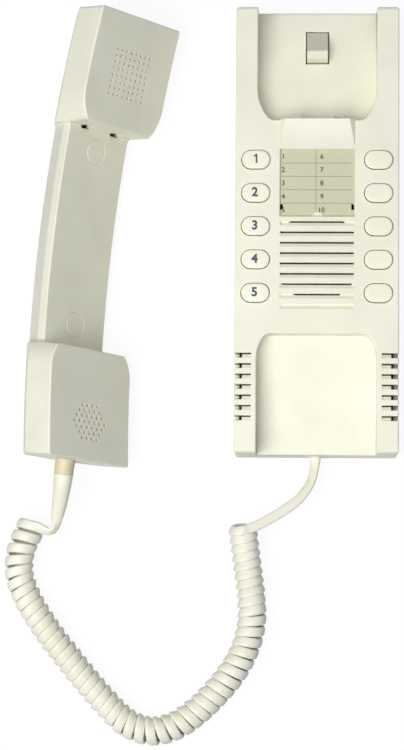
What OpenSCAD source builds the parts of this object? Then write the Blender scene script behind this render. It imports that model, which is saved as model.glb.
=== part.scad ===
// Wall intercom station with ten call buttons, a directory, a loudspeaker and a cradle, and its
// handset laid beside it on a curly cord. X runs across the base, Y up its length and Z out of its
// front. The origin is the middle of the wall face, which is also the surface that it all lies on.

/* [Base] */
// Width of the base
base_w = 80; // [78:1:90]
// Length of the base
base_h = 220; // [218:1:236]
// Height of the front face above the wall
base_d = 36; // [35:0.5:42]
// Wall thickness of the front cover
wall = 2.4; // [2:0.1:2.8]
// Radius of the base corners in front view
base_corner_r = 1.6; // [1.2:0.2:2.4]
// Radius that rounds the front face over the two ends
end_round_r = 2; // [1.5:0.5:3]
// Thickness of the back plate
plate_t = 2.4; // [2:0.1:3]
// Distance between the two wall screw holes
wall_hole_spacing = 83.5; // [60:0.5:90]
// Diameter of the wall screw holes
wall_hole_d = 4.5; // [4:0.1:5.5]

/* [Cradle] */
// Width of the two recesses that take the handset's heads
cradle_w = 58.4; // [57:0.2:59]
// Height of the ear recess's inner edge above the middle of the base
ear_edge_y = 53.6; // [53:0.2:56]
// Depth of the mouth recess's inner edge below the middle of the base
mouth_edge_y = 51.8; // [51:0.2:53]
// Depth of both recesses at the inner edge
cradle_depth = 9; // [8:0.5:10]
// Slope of the recess floors, in degrees
cradle_slope = 7; // [5:0.5:8]
// How far the ear recess narrows at each inner corner
ear_corner_in = 6.1; // [5:0.1:7]
// Length of the ear recess's inner corner
ear_corner_len = 16; // [13:0.5:17]
// How far the mouth recess narrows at each inner corner
mouth_corner_in = 4.6; // [4:0.1:6]
// Length of the mouth recess's inner corner
mouth_corner_len = 12; // [10:0.5:14]
// Radius between the inner edge of a recess and its corners
recess_corner_r = 5; // [3:0.5:6]
// Rise of the ramp between the directory and the ear recess
ramp_rise = 3; // [2:0.1:3.2]
// Width of the ramp at its foot
ramp_w = 37; // [34:0.5:38]
// Distance of each hanging tab from the middle
tab_x = 10.3; // [8:0.1:12]
// Width of a hanging tab
tab_w = 4.4; // [3:0.1:5]
// Reach of a hanging tab into the ear recess
tab_reach = 2.2; // [1.5:0.1:2.8]

/* [Directory] */
// Width of the directory card
card_w = 36.2; // [33:0.2:37]
// Height of the directory card
card_h = 33; // [30:0.5:33.5]
// Height of the card's middle above the middle of the base
card_y = 22.4; // [22:0.1:23]
// Thickness of the card
card_t = 0.3; // [0.2:0.05:0.5]
// Thickness of the clear window over the card
window_t = 1.2; // [0.8:0.1:1.4]

/* [Buttons] */
// Width of a button
button_w = 13.7; // [12:0.1:14]
// Height of a button
button_h = 9.1; // [8:0.1:9.5]
// Gap round a button in its opening
button_gap = 0.3; // [0.2:0.05:0.4]
// Distance of each button column from the middle
button_x = 30; // [29.6:0.1:30.4]
// Distance from one button to the next
button_pitch = 16.4; // [16:0.1:16.6]
// Height of the button columns' middle above the middle of the base
button_y = 0.9; // [0:0.1:1.5]
// How far a button stands out of the front face
button_proud = 1.2; // [0.8:0.1:1.8]
// Travel of a button
button_travel = 1.5; // [1:0.1:1.6]

/* [Loudspeaker] */
// Number of grooves in the loudspeaker grille
groove_count = 9; // [7:1:9]
// Distance from one groove to the next
groove_pitch = 5.1; // [4.8:0.1:5.2]
// Height of a groove, with its sloped lower side
groove_h = 2.4; // [2:0.1:2.8]
// Height of the slot along the top of a groove
slot_h = 0.8; // [0.6:0.1:1.1]
// Width of the grille
grille_w = 36; // [32:0.5:37]
// Depth of a groove where it isn't open
groove_depth = 1; // [0.6:0.1:1.4]
// Height of the first groove's upper edge above the middle of the base
groove_y = 3.5; // [3.2:0.1:3.7]
// Radius of the loudspeaker's flange
speaker_r = 20.5; // [18:0.5:20.5]
// Radius within which the grooves are open
sound_r = 21.7; // [17:0.1:22]
// Depth of the open part's middle below the middle of the base
sound_y = 14; // [13:0.1:16]

/* [Vents] */
// Number of vents down each side
vent_count = 7; // [5:1:8]
// Distance from one vent to the next
vent_pitch = 5.1; // [4.5:0.1:5.4]
// Depth of the first vent's upper edge below the middle of the base
vent_y = 61.2; // [60:0.2:63]
// Height of a vent, with its sloped lower side
vent_h = 2.4; // [1.8:0.1:2.6]
// Height of the slot along the top of a vent
vent_slot_h = 0.7; // [0.5:0.1:1]
// Length of a vent on the front face
vent_len = 8.2; // [6:0.2:8.2]
// Length of a vent's full opening, in from the side
vent_open = 3.7; // [3:0.1:5]
// Length of a vent down the side
vent_drop = 10; // [6:0.5:12]

/* [Hook] */
// Width of the hook lever
hook_w = 10.4; // [9:0.2:12]
// Height of the lever tip's lower face above the middle of the base
hook_y = 84.3; // [83:0.1:85]
// Length of the lever tip
hook_len = 15.6; // [14:0.2:16]
// Height of the lever's ridge above the recess floor
hook_rise = 6.8; // [5:0.2:7]
// Gap round the lever tip in its opening
hook_gap = 0.5; // [0.4:0.1:0.8]
// Radius of the hook's hinge pin
hook_pin_r = 1.5; // [1.2:0.1:1.8]
// Running clearance of the lever on its pin
pin_clear = 0.05; // [0.03:0.01:0.08]

/* [Handset] */
// Radius of the arc along the handset's back
arc_r = 680; // [640:5:760]
// Length of the handset
handset_len = 220; // [214:1:222]
// Gap between a head and the side of its recess
head_gap = 1.1; // [0.8:0.1:1.4]
// Distance of the ear head's inner end from the handset's middle
ear_inner = 54.2; // [53:0.2:56]
// Distance of the mouth head's inner end from the handset's middle
mouth_inner = 55.2; // [54:0.2:56]
// Height of the head faces above the back
head_h = 29.6; // [28:0.2:31]
// Height of the grip's inner face above the back
grip_h = 16.6; // [16.2:0.1:18]
// Height of the parting line above the back
parting_h = 13.6; // [13:0.1:14]
// Width of the grip
grip_w = 41.8; // [40:0.2:43]
// Width of the back along the heads
head_back_w = 31.6; // [30:0.2:34]
// Width of the back along the grip
grip_back_w = 29.2; // [28:0.2:31]
// Height of the crease along the grip's sides
crease_h = 12; // [10:0.2:12.4]
// Wall thickness of the handset shells
shell = 2.2; // [1.8:0.1:2.4]
// Distance of each screw plug from the handset's middle
plug_s = 44.4; // [42:0.2:45]
// Radius of a screw plug
plug_r = 6.2; // [5.5:0.1:6.5]
// Number of sound holes along each side of the ear grid
ear_holes = 8; // [6:1:8]
// Distance between the ear holes
ear_hole_pitch = 3.3; // [2.8:0.1:3.4]
// Distance between the mouth holes
mouth_hole_pitch = 3; // [2.6:0.1:3.2]
// Radius of the round field of mouth holes
mouth_field_r = 9.2; // [7:0.1:10]
// Radius of a sound hole
sound_hole_r = 0.65; // [0.55:0.05:0.9]

/* [Cord] */
// Diameter of the cord
cord_d = 4.2; // [3.6:0.1:4.3]
// Outer diameter of the curls
curl_d = 14.4; // [13.4:0.2:15]
// Number of curls
curl_count = 47; // [30:1:47]

/* [Hidden] */
$fn = 48;
BUTTONS = [for (i = [1 : 10]) str("button_", i)];

// Overshoot of a cut past the face that it opens
cut = 1;
// Play between pieces that are laid or clipped together
play = 0.1;
ivory = "#f3efdc";
ivory_shade = "#e4dfc8";
white_key = "#f6f4ea";
card_tint = "#cdc6a5";
board_green = "#2f6b45";
steel = "#b9bcc0";
dark_rubber = "#3a3a3c";
black_part = "#232326";
cord_ivory = "#f0ead2";

// Inner face of the cover's front
inner_z = base_d - wall;
// Height of the recess floors at a distance past their inner edge
function floor_z(past) = base_d - cradle_depth - past * tan(cradle_slope);

// Directory recess: card, window and the pad under them
card_gap = 0.2;
card_bed_z = base_d - card_t - window_t - card_gap;
pad_t = 3.6;
pad_z = card_bed_z - pad_t;
pad_edge = 0.4;
// Half-round cut for a thumb in the lower edge of the card and the window
thumb_r = 2.8;
thumb_drop = 0.6;
// Cuts at both sides of the card and the window, over slots that take the window's lifting blade
notch_w = 1.4;
notch_h = 3;
notch_up = 4.8;
// The two screws under the card that hold the cover on the back plate's pillars
cover_screw_x = 11;
pillar_r = 3.5;
screw_r = 1.4;
screw_head_r = 2.7;
screw_head_t = 1.4;
// How far a screw bites into what holds it
screw_bite = 8;

// Key boards hang from the cover on a boss at each end
key_board_t = 1.6;
key_board_z = 23;
key_board_w = 13.4;
key_boss_r = 3;
key_rows = 5;
key_boss_past = 11.5;
key_boss_reach = button_pitch * (key_rows - 1) / 2 + key_boss_past;
mat_t = 0.8;
dome_r = 4;
dome_h = button_travel + 0.5;
stem_r = 2.5;
flange_lap = 1.3;
flange_t = 1.2;
key_board_top = key_board_z + key_board_t;
mat_top = key_board_top + mat_t;
dome_top = mat_top + dome_h;
flange_top = inner_z - play;
// A flange stops short of the cover's side wall
flange_reach = base_w / 2 - wall - 2 * play - button_x;

// Loudspeaker, from the gasket on the cover's inner face back to the magnet
gasket_t = 1;
speaker_flange_t = 1;
basket_depth = 7.8;
basket_t = 0.8;
cone_t = 0.4;
dust_cap_r = 6.5;
magnet_r = 11;
magnet_t = 6.8;
surround_w = 3.5;
speaker_face_z = inner_z - gasket_t;
// The speaker sits beside the fourth row of buttons, and its posts stand between the rows
speaker_y = button_pitch - button_y;
speaker_post_r = 2.2;
speaker_post_past = 2.3;
speaker_post_y = button_pitch / 2;
speaker_post_x = sqrt(pow(speaker_r + speaker_post_past, 2) - pow(speaker_post_y, 2));
speaker_back_z = speaker_face_z - speaker_flange_t - basket_depth;

// Main board on four posts of the back plate
board_t = 1.6;
board_w = 68;
board_top_y = 80;
board_low_y = 62;
board_z = 8;
board_top = board_z + board_t;
post_r = 3;
post_x = 29;
post_top_y = 74;
post_low_y = 48;

// Hook lever: hinged under the recess floor, its tip standing up through an opening
hook_arm = 22.3;
hook_slope = 4.9;
hook_pivot_y = hook_y - hook_arm;
hook_pivot_z = 16;
hook_hub_r = 3.5;
hook_ridge_y = hook_y + hook_slope;
hook_tip_y = hook_y + hook_len;
hook_arm_low = 15.5;
hook_arm_top = 18;
hook_nose = 1.2;
hook_root_z = hook_pivot_z - hook_hub_r + hook_nose / 2;
function hook_low(y) = hook_root_z + (hook_arm_low - hook_root_z) * (y - hook_pivot_y) / hook_arm;
hook_ridge_z = floor_z(hook_ridge_y - ear_edge_y) + hook_rise;
cheek_t = 2.5;
cheek_gap = 0.5;
cheek_h = 9;
cheek_w = 8;
bracket_foot_t = 1.6;

// Cord gland in the cover's bottom wall
gland_z = 9;
gland_r = 4;
gland_collar = 0.4;
gland_flange_r = 5;
gland_flange_t = 2;

// Handset pose: on the table at the left of the base, rolled onto the bevels of its back
handset_x = -127.8;
handset_y = -2;
handset_yaw = -6.2;
handset_roll = 50.4;
table_gap = 0.05;
head_w = cradle_w - 2 * head_gap;
ear_end = handset_len / 2;
function arc_deg(s) = s / arc_r * 180 / PI;
function arc_point(x, s, h) = [x, (arc_r - h) * sin(arc_deg(s)), arc_r - (arc_r - h) * cos(arc_deg(s))];
function rise_at(y, h) = arc_r - sqrt((arc_r - h) * (arc_r - h) - y * y);
function rolled_z(x, z) = z * cos(handset_roll) - x * sin(handset_roll);
handset_low = min(rolled_z(head_back_w / 2, rise_at(ear_inner, 0)),
                  rolled_z(head_w / 2, rise_at(mouth_inner + mouth_corner_len, parting_h)),
                  rolled_z(head_back_w / 2, rise_at(mouth_inner, 0)), rolled_z(grip_back_w / 2, 0));
handset_z = table_gap - handset_low;
// A point of the handset in the base's frame
function handset_point(p) = let (
        x = p[0] * cos(handset_roll) + p[2] * sin(handset_roll),
        z = rolled_z(p[0], p[2]))
    [handset_x + x * cos(handset_yaw) - p[1] * sin(handset_yaw),
     handset_y + x * sin(handset_yaw) + p[1] * cos(handset_yaw), handset_z + z];
function handset_direction(v) = handset_point(v) - handset_point([0, 0, 0]);

// Capsules behind the two sound fields
ear_s = 85;
mouth_s = 86;
capsule_r = 17;
capsule_t = 9;
capsule_gasket_t = 1.2;
capsule_rim = 3;
clamp_t = 2;
mic_r = 4.9;
mic_t = 6;
mic_cup_r = 8;
mic_cup_t = 9;
face_inner_h = head_h - shell;

// Screws through the grip, each under a plug
boss_r = 4.5;
boss_split_h = 8;
plug_t = 1.2;
head_seat_h = 11;
screw_tip_h = 4;
pocket_h = 3.4;
pocket_play = 0.5;
pocket_lip = 1.2;
tab_nose = 0.8;

// Strain relief boot on the handset's lower end, and the cord's route along the table
boot_r0 = 4.9;
boot_r1 = 2.7;
boot_exit = handset_point([0, -handset_len / 2, rise_at(handset_len / 2, parting_h)]);
boot_route = [[-123, -117, 24.9], [-123.7, -123, 23.4], [-124.7, -129, 20.9], [-125.8, -135, 17.8],
    [-127, -140, 15.2], [-128, -143.5, 13.6]];
tail_handset_route = [[-129.6, -147.4, 12.5], [-132.2, -149.6, 12.1]];
tail_base_route = [[0, -117, 8.2], [-1.5, -121.5, 6], [-5, -126, 3.4], [-9.5, -129.5, 2.3],
    [-15, -133, 2.6], [-20, -136, 4.6], [-24, -138.9, 7.8], [-27.8, -142, 11.2]];
coil_route = [[-36, -144.8], [-34.6, -155], [-33, -167], [-31.5, -179], [-31.3, -191.5], [-34.2, -204],
    [-40.5, -216], [-49.3, -226.8], [-58.5, -235.6], [-68.8, -242.5], [-80.7, -245], [-92.5, -240.8],
    [-102.5, -231.6], [-112.5, -220.4], [-122.5, -208.3], [-132, -196], [-140.6, -182.6], [-146, -169.4],
    [-146.6, -157], [-143, -147]];
coil_z = curl_d / 2 + play;
curl_r = (curl_d - cord_d) / 2;
// The curls near the handset are drawn apart
drawn_out = 0.38;
drawn_len = 60;
rings_per_curl = 8;
coil_sides = 6;
tail_sides = 10;
axis_steps = 12;

// Smooth curve through points, and its unit tangents
function unit(v) = v / norm(v);
function spline(p, i, t) = let (
        a = p[max(i - 1, 0)], b = p[i], c = p[i + 1], d = p[min(i + 2, len(p) - 1)])
    b + t * (c - a) / 2 + t * t * (a - 2.5 * b + 2 * c - d / 2) + t * t * t * (-a + 3 * b - 3 * c + d) / 2;
function smooth(p, steps) = concat(
    [for (i = [0 : len(p) - 2], k = [0 : steps - 1]) spline(p, i, k / steps)], [p[len(p) - 1]]);
function slope_at(p, i) = unit(p[min(i + 1, len(p) - 1)] - p[max(i - 1, 0)]);
function running_sum(v, i = 0, sum = 0) = i == len(v) ? [sum] :
    concat([sum], running_sum(v, i + 1, sum + v[i]));

// The coil's axis, and how far the curls have turned along it
axis = smooth(coil_route, axis_steps);
axis_last = len(axis) - 1;
axis_len = running_sum([for (i = [0 : axis_last - 1]) norm(axis[i + 1] - axis[i])]);
function bend_at(i) = i == 0 || i == axis_last ? 0 :
    norm(slope_at(axis, i + 1) - slope_at(axis, i - 1)) / norm(axis[i + 1] - axis[i - 1]);
function curl_rate(i) = (1 - curl_r * bend_at(i)) /
    (1 + drawn_out * max(0, 1 - (axis_len[axis_last] - axis_len[i]) / drawn_len));
turned = running_sum([for (i = [0 : axis_last - 1]) curl_rate(i) * (axis_len[i + 1] - axis_len[i])]);
turn_table = [for (i = [0 : axis_last]) [turned[i] / turned[axis_last] * curl_count, i]];
function axis_at(f) = let (i = min(floor(f), axis_last - 1)) axis[i] + (f - i) * (axis[i + 1] - axis[i]);
function heading_at(f) = let (i = min(floor(f), axis_last - 1))
    unit(slope_at(axis, i) + (f - i) * (slope_at(axis, i + 1) - slope_at(axis, i)));
function curl_out(turn, a) = let (phase = 90 + 360 * turn)
    [-a[1] * cos(phase), a[0] * cos(phase), sin(phase)];
function curl_point(turn) = let (f = lookup(turn, turn_table), p = axis_at(f))
    [p[0], p[1], coil_z] + curl_r * curl_out(turn, heading_at(f));
curls = [for (k = [0 : curl_count * rings_per_curl]) curl_point(k / rings_per_curl)];
curl_normals = [for (k = [0 : curl_count * rings_per_curl])
    curl_out(k / rings_per_curl, heading_at(lookup(k / rings_per_curl, turn_table)))];
// Both ends leave the top of their curl level and straight, for one diameter
last_curl = len(curls) - 1;
base_lead = -[axis[1][1] - axis[0][1], axis[0][0] - axis[1][0], 0] / norm(axis[1] - axis[0]);
handset_lead = let (v = axis[axis_last] - axis[axis_last - 1]) [v[1], -v[0], 0] / norm(v);
coil_points = concat([curls[0] + cord_d * base_lead], curls, [curls[last_curl] + cord_d * handset_lead]);
coil_normals = concat([[0, 0, 1]], curl_normals, [[0, 0, 1]]);
coil_base_end = coil_points[0];
coil_handset_end = coil_points[len(coil_points) - 1];
near_curl = [rings_per_curl - 2 : rings_per_curl + 2];
coil_least_gap = min([for (i = [0 : last_curl - rings_per_curl], j = near_curl)
    if (i + j <= last_curl) norm(curls[i + j] - curls[i])]) - cord_d;
echo(str("least gap between curls ", coil_least_gap, " mm"));
echo(str("cord length in the curls ", running_sum([for (i = [1 : len(coil_points) - 1])
    norm(coil_points[i] - coil_points[i - 1])])[len(coil_points) - 1], " mm"));

// Shapes that repeat
module rounded_plan(w, h, r) {
    square([w - 2 * r, h], center = true);
    square([w, h - 2 * r], center = true);
    for (sx = [-1, 1], sy = [-1, 1]) translate([sx * (w / 2 - r), sy * (h / 2 - r)]) circle(r);
}
module stadium(w, h) {
    square([w - h, h], center = true);
    for (s = [-1, 1]) translate([s * (w - h) / 2, 0]) circle(d = h);
}
module block(w, h, d) {
    translate([-w / 2, -h / 2, 0]) cube([w, h, d]);
}
// Self-tapping screw, head down at the origin and shank along +Z
module screw(length) {
    cylinder(h = screw_head_t, r = screw_head_r);
    translate([0, 0, screw_head_t]) cylinder(h = length, r = screw_r);
}
// A tube through rings of points, square to its path, closed at both ends
module tube(path, normals, radii, sides, first, last) {
    n = len(path);
    function along(i) = i == 0 ? first : i == n - 1 ? last : unit(path[i + 1] - path[i - 1]);
    rings = [for (i = [0 : n - 1]) let (
            t = along(i), u = unit(normals[i] - (normals[i] * t) * t), v = cross(t, u))
        for (k = [0 : sides - 1]) path[i] + radii[i] * (u * cos(360 * k / sides) + v * sin(360 * k / sides))];
    walls = [for (i = [0 : n - 2], k = [0 : sides - 1]) let (
            a = i * sides + k, b = i * sides + (k + 1) % sides)
        each [[a, b + sides, b], [a, a + sides, b + sides]]];
    caps = [for (k = [1 : sides - 2]) each [[0, k, k + 1],
        [(n - 1) * sides, (n - 1) * sides + k + 1, (n - 1) * sides + k]]];
    polyhedron(rings, concat(walls, caps));
}
// A level cord run through hand-picked points
module cord_run(path, d, first, last) {
    tube(path, [for (p = path) [0, 0, 1]], [for (p = path) d / 2], tail_sides, first, last);
}

// Outline of a recess from its inner edge outwards, and of the head that drops into it
function corner_radius(in, along) = (in * in + along * along) / (2 * in);
// The corner arcs reach this far past the sides, which trim them
corner_past = 0.01;
module head_plan(half_w, corner_in, corner_len, length) {
    r = corner_radius(corner_in, corner_len);
    translate([-half_w, corner_len]) square([2 * half_w, length - corner_len]);
    intersection() {
        translate([-half_w, 0]) square([2 * half_w, corner_len]);
        union() {
            for (s = [-1, 1]) translate([s * (half_w + corner_past - r), corner_len]) circle(r, $fn = 96);
            translate([r - half_w, 0]) square([2 * (half_w - r), corner_len]);
        }
    }
}
// The space of a recess, or with grow its tub, above a floor that falls away outwards
module recess(edge, corner_in, corner_len, grow) {
    turn_r = recess_corner_r + grow;
    reach = base_h / 2 - edge + 2 * (grow + turn_r);
    intersection() {
        translate([0, edge - grow, 0]) linear_extrude(base_d + cut) offset(r = turn_r) offset(delta = -turn_r)
            head_plan(cradle_w / 2 + grow, corner_in, corner_len, reach);
        translate([-base_w / 2, edge, floor_z(0) - grow]) rotate([-cradle_slope, 0, 0])
            translate([0, -base_h / 2, 0]) cube([base_w, base_h, base_d]);
    }
}
module ear_recess(grow) {
    recess(ear_edge_y, ear_corner_in, ear_corner_len, grow);
}
module mouth_recess(grow) {
    rotate([0, 0, 180]) recess(mouth_edge_y, mouth_corner_in, mouth_corner_len, grow);
}

// Places of things that come more than once
module at_buttons() {
    for (i = [0 : 2 * key_rows - 1]) translate(button_place(i)) children();
}
function button_place(i) = [(i < key_rows ? -1 : 1) * button_x,
    button_y + ((key_rows - 1) / 2 - i % key_rows) * button_pitch, 0];
module at_cover_screws() {
    for (s = [-1, 1]) translate([s * cover_screw_x, card_y, 0]) children();
}
module at_posts() {
    for (s = [-1, 1], y = [post_top_y, -post_low_y]) translate([s * post_x, y, 0]) children();
}
module at_key_bosses(side) {
    for (s = [-1, 1]) translate([side * button_x, button_y + s * key_boss_reach, 0]) children();
}
module at_speaker_posts() {
    for (sx = [-1, 1], sy = [-1, 1])
        translate([sx * speaker_post_x, sy * speaker_post_y - speaker_y, 0]) children();
}

// Front cover: one ivory moulding with the cradle, the grille and all the openings
module cover_outer() {
    intersection() {
        translate([0, 0, plate_t]) linear_extrude(base_d - plate_t)
            rounded_plan(base_w, base_h, base_corner_r);
        rotate([90, 0, 90]) linear_extrude(base_w + 2 * cut, center = true) {
            translate([-base_h / 2, 0]) square([base_h, base_d - end_round_r]);
            translate([end_round_r - base_h / 2, 0]) square([base_h - 2 * end_round_r, base_d]);
            for (s = [-1, 1]) translate([s * (base_h / 2 - end_round_r), base_d - end_round_r])
                circle(end_round_r);
        }
    }
}
module cover_shell() {
    difference() {
        cover_outer();
        linear_extrude(inner_z) rounded_plan(base_w - 2 * wall, base_h - 2 * wall, base_corner_r / 2);
    }
    intersection() {
        cover_outer();
        union() {
            ear_recess(wall);
            mouth_recess(wall);
        }
    }
    translate([0, card_y, pad_z])
        block(card_w + 2 * (card_gap + pad_edge), card_h + 2 * (card_gap + pad_edge), inner_z - pad_z);
    for (side = [-1, 1]) at_key_bosses(side)
        translate([0, 0, key_board_top]) cylinder(h = inner_z - key_board_top, r = key_boss_r);
    at_speaker_posts() translate([0, 0, speaker_face_z - speaker_flange_t])
        cylinder(h = inner_z - speaker_face_z + speaker_flange_t, r = speaker_post_r);
}
// A level groove in the front face below the given height, square above and sloped below
module front_groove(top_y, length, h, floor_h) {
    slope_run = (h - floor_h) / groove_depth;
    rotate([90, 0, 90]) linear_extrude(length, center = true)
        polygon([[top_y, base_d - groove_depth], [top_y, base_d + cut],
            [top_y - h - cut * slope_run, base_d + cut], [top_y - floor_h, base_d - groove_depth]]);
}
module grooves() {
    for (i = [0 : groove_count - 1]) {
        top_y = groove_y - i * groove_pitch;
        front_groove(top_y, grille_w, groove_h, slot_h);
        intersection() {
            translate([0, top_y - slot_h / 2, inner_z - cut]) block(grille_w, slot_h, base_d);
            translate([0, -sound_y, inner_z - cut]) cylinder(h = base_d, r = sound_r);
        }
    }
}
module vents() {
    for (i = [0 : vent_count - 1], s = [-1, 1]) translate([s * base_w / 2, -vent_y - i * vent_pitch, 0]) {
        translate([-s * vent_len / 2, 0, 0]) {
            front_groove(0, vent_len + play, vent_h, vent_slot_h);
            translate([0, -vent_slot_h / 2, inner_z - play]) block(vent_len + play, vent_slot_h, base_d);
        }
        translate([-s * vent_open / 2, -vent_h / 2, inner_z - play]) block(vent_open + play, vent_h, base_d);
        translate([0, -vent_h / 2, base_d - vent_drop]) block(2 * (wall + play), vent_h, base_d);
    }
}
module ramp() {
    flank = 0.88 * ramp_rise;
    top_z = base_d + ramp_rise;
    foot_y = card_y + card_h / 2 + card_gap + pad_edge;
    intersection() {
        rotate([90, 0, 90]) linear_extrude(ramp_w, center = true)
            polygon([[foot_y, base_d - cut], [foot_y, base_d], [ear_edge_y, top_z],
                [ear_edge_y, base_d - cut]]);
        rotate([90, 0, 0]) linear_extrude(base_h, center = true)
            polygon([[-ramp_w / 2, base_d - cut], [-ramp_w / 2, base_d], [flank - ramp_w / 2, top_z],
                [ramp_w / 2 - flank, top_z], [ramp_w / 2, base_d], [ramp_w / 2, base_d - cut]]);
    }
    tab_low_z = top_z - pocket_h;
    tab_top_z = top_z - pocket_play;
    for (s = [-1, 1]) translate([s * tab_x, 0, 0]) rotate([90, 0, 90]) linear_extrude(tab_w, center = true)
        polygon([[ear_edge_y - wall, tab_low_z], [ear_edge_y + tab_reach, tab_low_z],
            [ear_edge_y + tab_reach, tab_low_z + tab_nose], [ear_edge_y, tab_top_z],
            [ear_edge_y - wall, tab_top_z]]);
}
module front_cover() {
    color(ivory) {
        difference() {
            cover_shell();
            ear_recess(0);
            mouth_recess(0);
            at_buttons() translate([0, 0, inner_z - cut])
                linear_extrude(base_d) stadium(button_w + 2 * button_gap, button_h + 2 * button_gap);
            translate([0, card_y, card_bed_z]) block(card_w + 2 * card_gap, card_h + 2 * card_gap, base_d);
            for (s = [-1, 1])
                translate([s * (card_w - notch_w) / 2, card_y + notch_up - card_h / 2, pad_z - cut])
                    block(notch_w, notch_h, base_d);
            at_cover_screws() {
                translate([0, 0, pad_z - cut]) cylinder(h = base_d, r = screw_r + play);
                translate([0, 0, card_bed_z - screw_head_t - play])
                    cylinder(h = base_d, r = screw_head_r + play);
            }
            grooves();
            vents();
            translate([0, hook_y + hook_len / 2, floor_z(base_h / 2) - cut])
                block(hook_w + 2 * hook_gap, hook_len + 2 * hook_gap, base_d);
            translate([0, wall - base_h / 2 + cut, gland_z]) rotate([90, 0, 0])
                cylinder(h = wall + 2 * cut, r = gland_r);
            for (side = [-1, 1]) at_key_bosses(side) cylinder(h = inner_z, r = screw_r);
            at_speaker_posts() cylinder(h = inner_z + wall / 2, r = screw_r);
        }
        ramp();
    }
}

// Back plate: fixed to the wall by two screws, with posts for the board and pillars for the cover
module back_plate() {
    cable_w = 30;
    cable_h = 18;
    cable_y = 82;
    tongue_w = 12;
    tongue_t = 1.6;
    tongue_h = 7;
    color(ivory_shade) difference() {
        union() {
            linear_extrude(plate_t) rounded_plan(base_w, base_h, base_corner_r);
            at_posts() cylinder(h = board_z, r = post_r);
            at_cover_screws() cylinder(h = pad_z, r = pillar_r);
            for (sx = [-1, 1], sy = [-1, 1])
                translate([sx * base_w / 4, sy * (base_h / 2 - wall - play - tongue_t / 2), 0])
                    block(tongue_w, tongue_t, plate_t + tongue_h);
        }
        for (s = [-1, 1]) translate([0, s * wall_hole_spacing / 2, -cut])
            cylinder(h = plate_t + 2 * cut, d = wall_hole_d);
        translate([0, -cable_y, -cut]) block(cable_w, cable_h, plate_t + 2 * cut);
        at_posts() translate([0, 0, plate_t]) cylinder(h = board_z, r = screw_r);
        at_cover_screws() translate([0, 0, plate_t]) cylinder(h = base_d, r = screw_r);
    }
}
module cover_screws() {
    color(steel) at_cover_screws() translate([0, 0, card_bed_z - play]) rotate([180, 0, 0])
        screw(pad_t + screw_bite);
}

// Main board and what is soldered to it
module main_board() {
    pillar_play = 0.5;
    color(board_green) difference() {
        translate([0, (board_top_y - board_low_y) / 2, board_z])
            block(board_w, board_top_y + board_low_y, board_t);
        at_posts() translate([0, 0, board_z - cut]) cylinder(h = board_t + 2 * cut, r = screw_r + play);
        at_cover_screws() translate([0, 0, board_z - cut])
            cylinder(h = board_t + 2 * cut, r = pillar_r + pillar_play);
    }
}
module board_screws() {
    color(steel) at_posts() translate([0, 0, board_top + screw_head_t]) rotate([180, 0, 0])
        screw(board_t + screw_bite / 2);
}
terminal_y = 41;
terminal_count = 6;
terminal_pitch = 6;
terminal_h = 9;
terminal_screw_r = 1.6;
terminal_screw_t = 1.6;
module at_terminals() {
    for (i = [0 : terminal_count - 1])
        translate([(i - (terminal_count - 1) / 2) * terminal_pitch, -terminal_y, board_top + terminal_h])
            children();
}
module terminal_block() {
    wire_r = 1.2;
    depth = 9;
    color(black_part) difference() {
        translate([0, -terminal_y, board_top]) block(terminal_count * terminal_pitch + 1, depth, terminal_h);
        at_terminals() translate([0, 0, -2 * terminal_screw_t])
            cylinder(h = terminal_h, r = terminal_screw_r);
        at_terminals() translate([0, 0, -2 * terminal_screw_t - wire_r]) rotate([90, 0, 0])
            cylinder(h = depth, r = wire_r);
    }
}
module terminal_screws() {
    slot_w = 0.5;
    color(steel) at_terminals() translate([0, 0, -2 * terminal_screw_t]) difference() {
        cylinder(h = terminal_screw_t, r = terminal_screw_r - play / 2);
        translate([0, 0, terminal_screw_t / 2]) block(2 * terminal_screw_r, slot_w, terminal_screw_t);
    }
}
module transformer() {
    core_x = 20;
    core_y = 40;
    core_w = 18;
    core_len = 10;
    core_h = 11;
    bobbin_w = 12;
    bobbin_len = 15;
    bobbin_h = 8;
    color(dark_rubber) translate([-core_x, core_y, board_top]) {
        block(core_w, core_len, core_h);
        block(bobbin_w, bobbin_len, bobbin_h);
    }
}
module capacitors() {
    can_r = 4;
    can_h = 10;
    foot_h = 0.8;
    foot_in = 0.4;
    can_x = 19;
    can_y = 35;
    can_pitch = 11;
    color(black_part) for (y = [can_y, can_y + can_pitch]) translate([can_x, y, board_top]) {
        cylinder(h = foot_h, r = can_r - foot_in);
        translate([0, 0, foot_h]) cylinder(h = can_h - foot_h, r = can_r);
    }
}
module audio_chips() {
    chip = [8, 12, 2.4];
    chip_y = 34;
    chip_pitch = 16;
    color(black_part) for (y = [chip_y, chip_y + chip_pitch]) translate([0, y, board_top])
        block(chip[0], chip[1], chip[2]);
}

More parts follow.
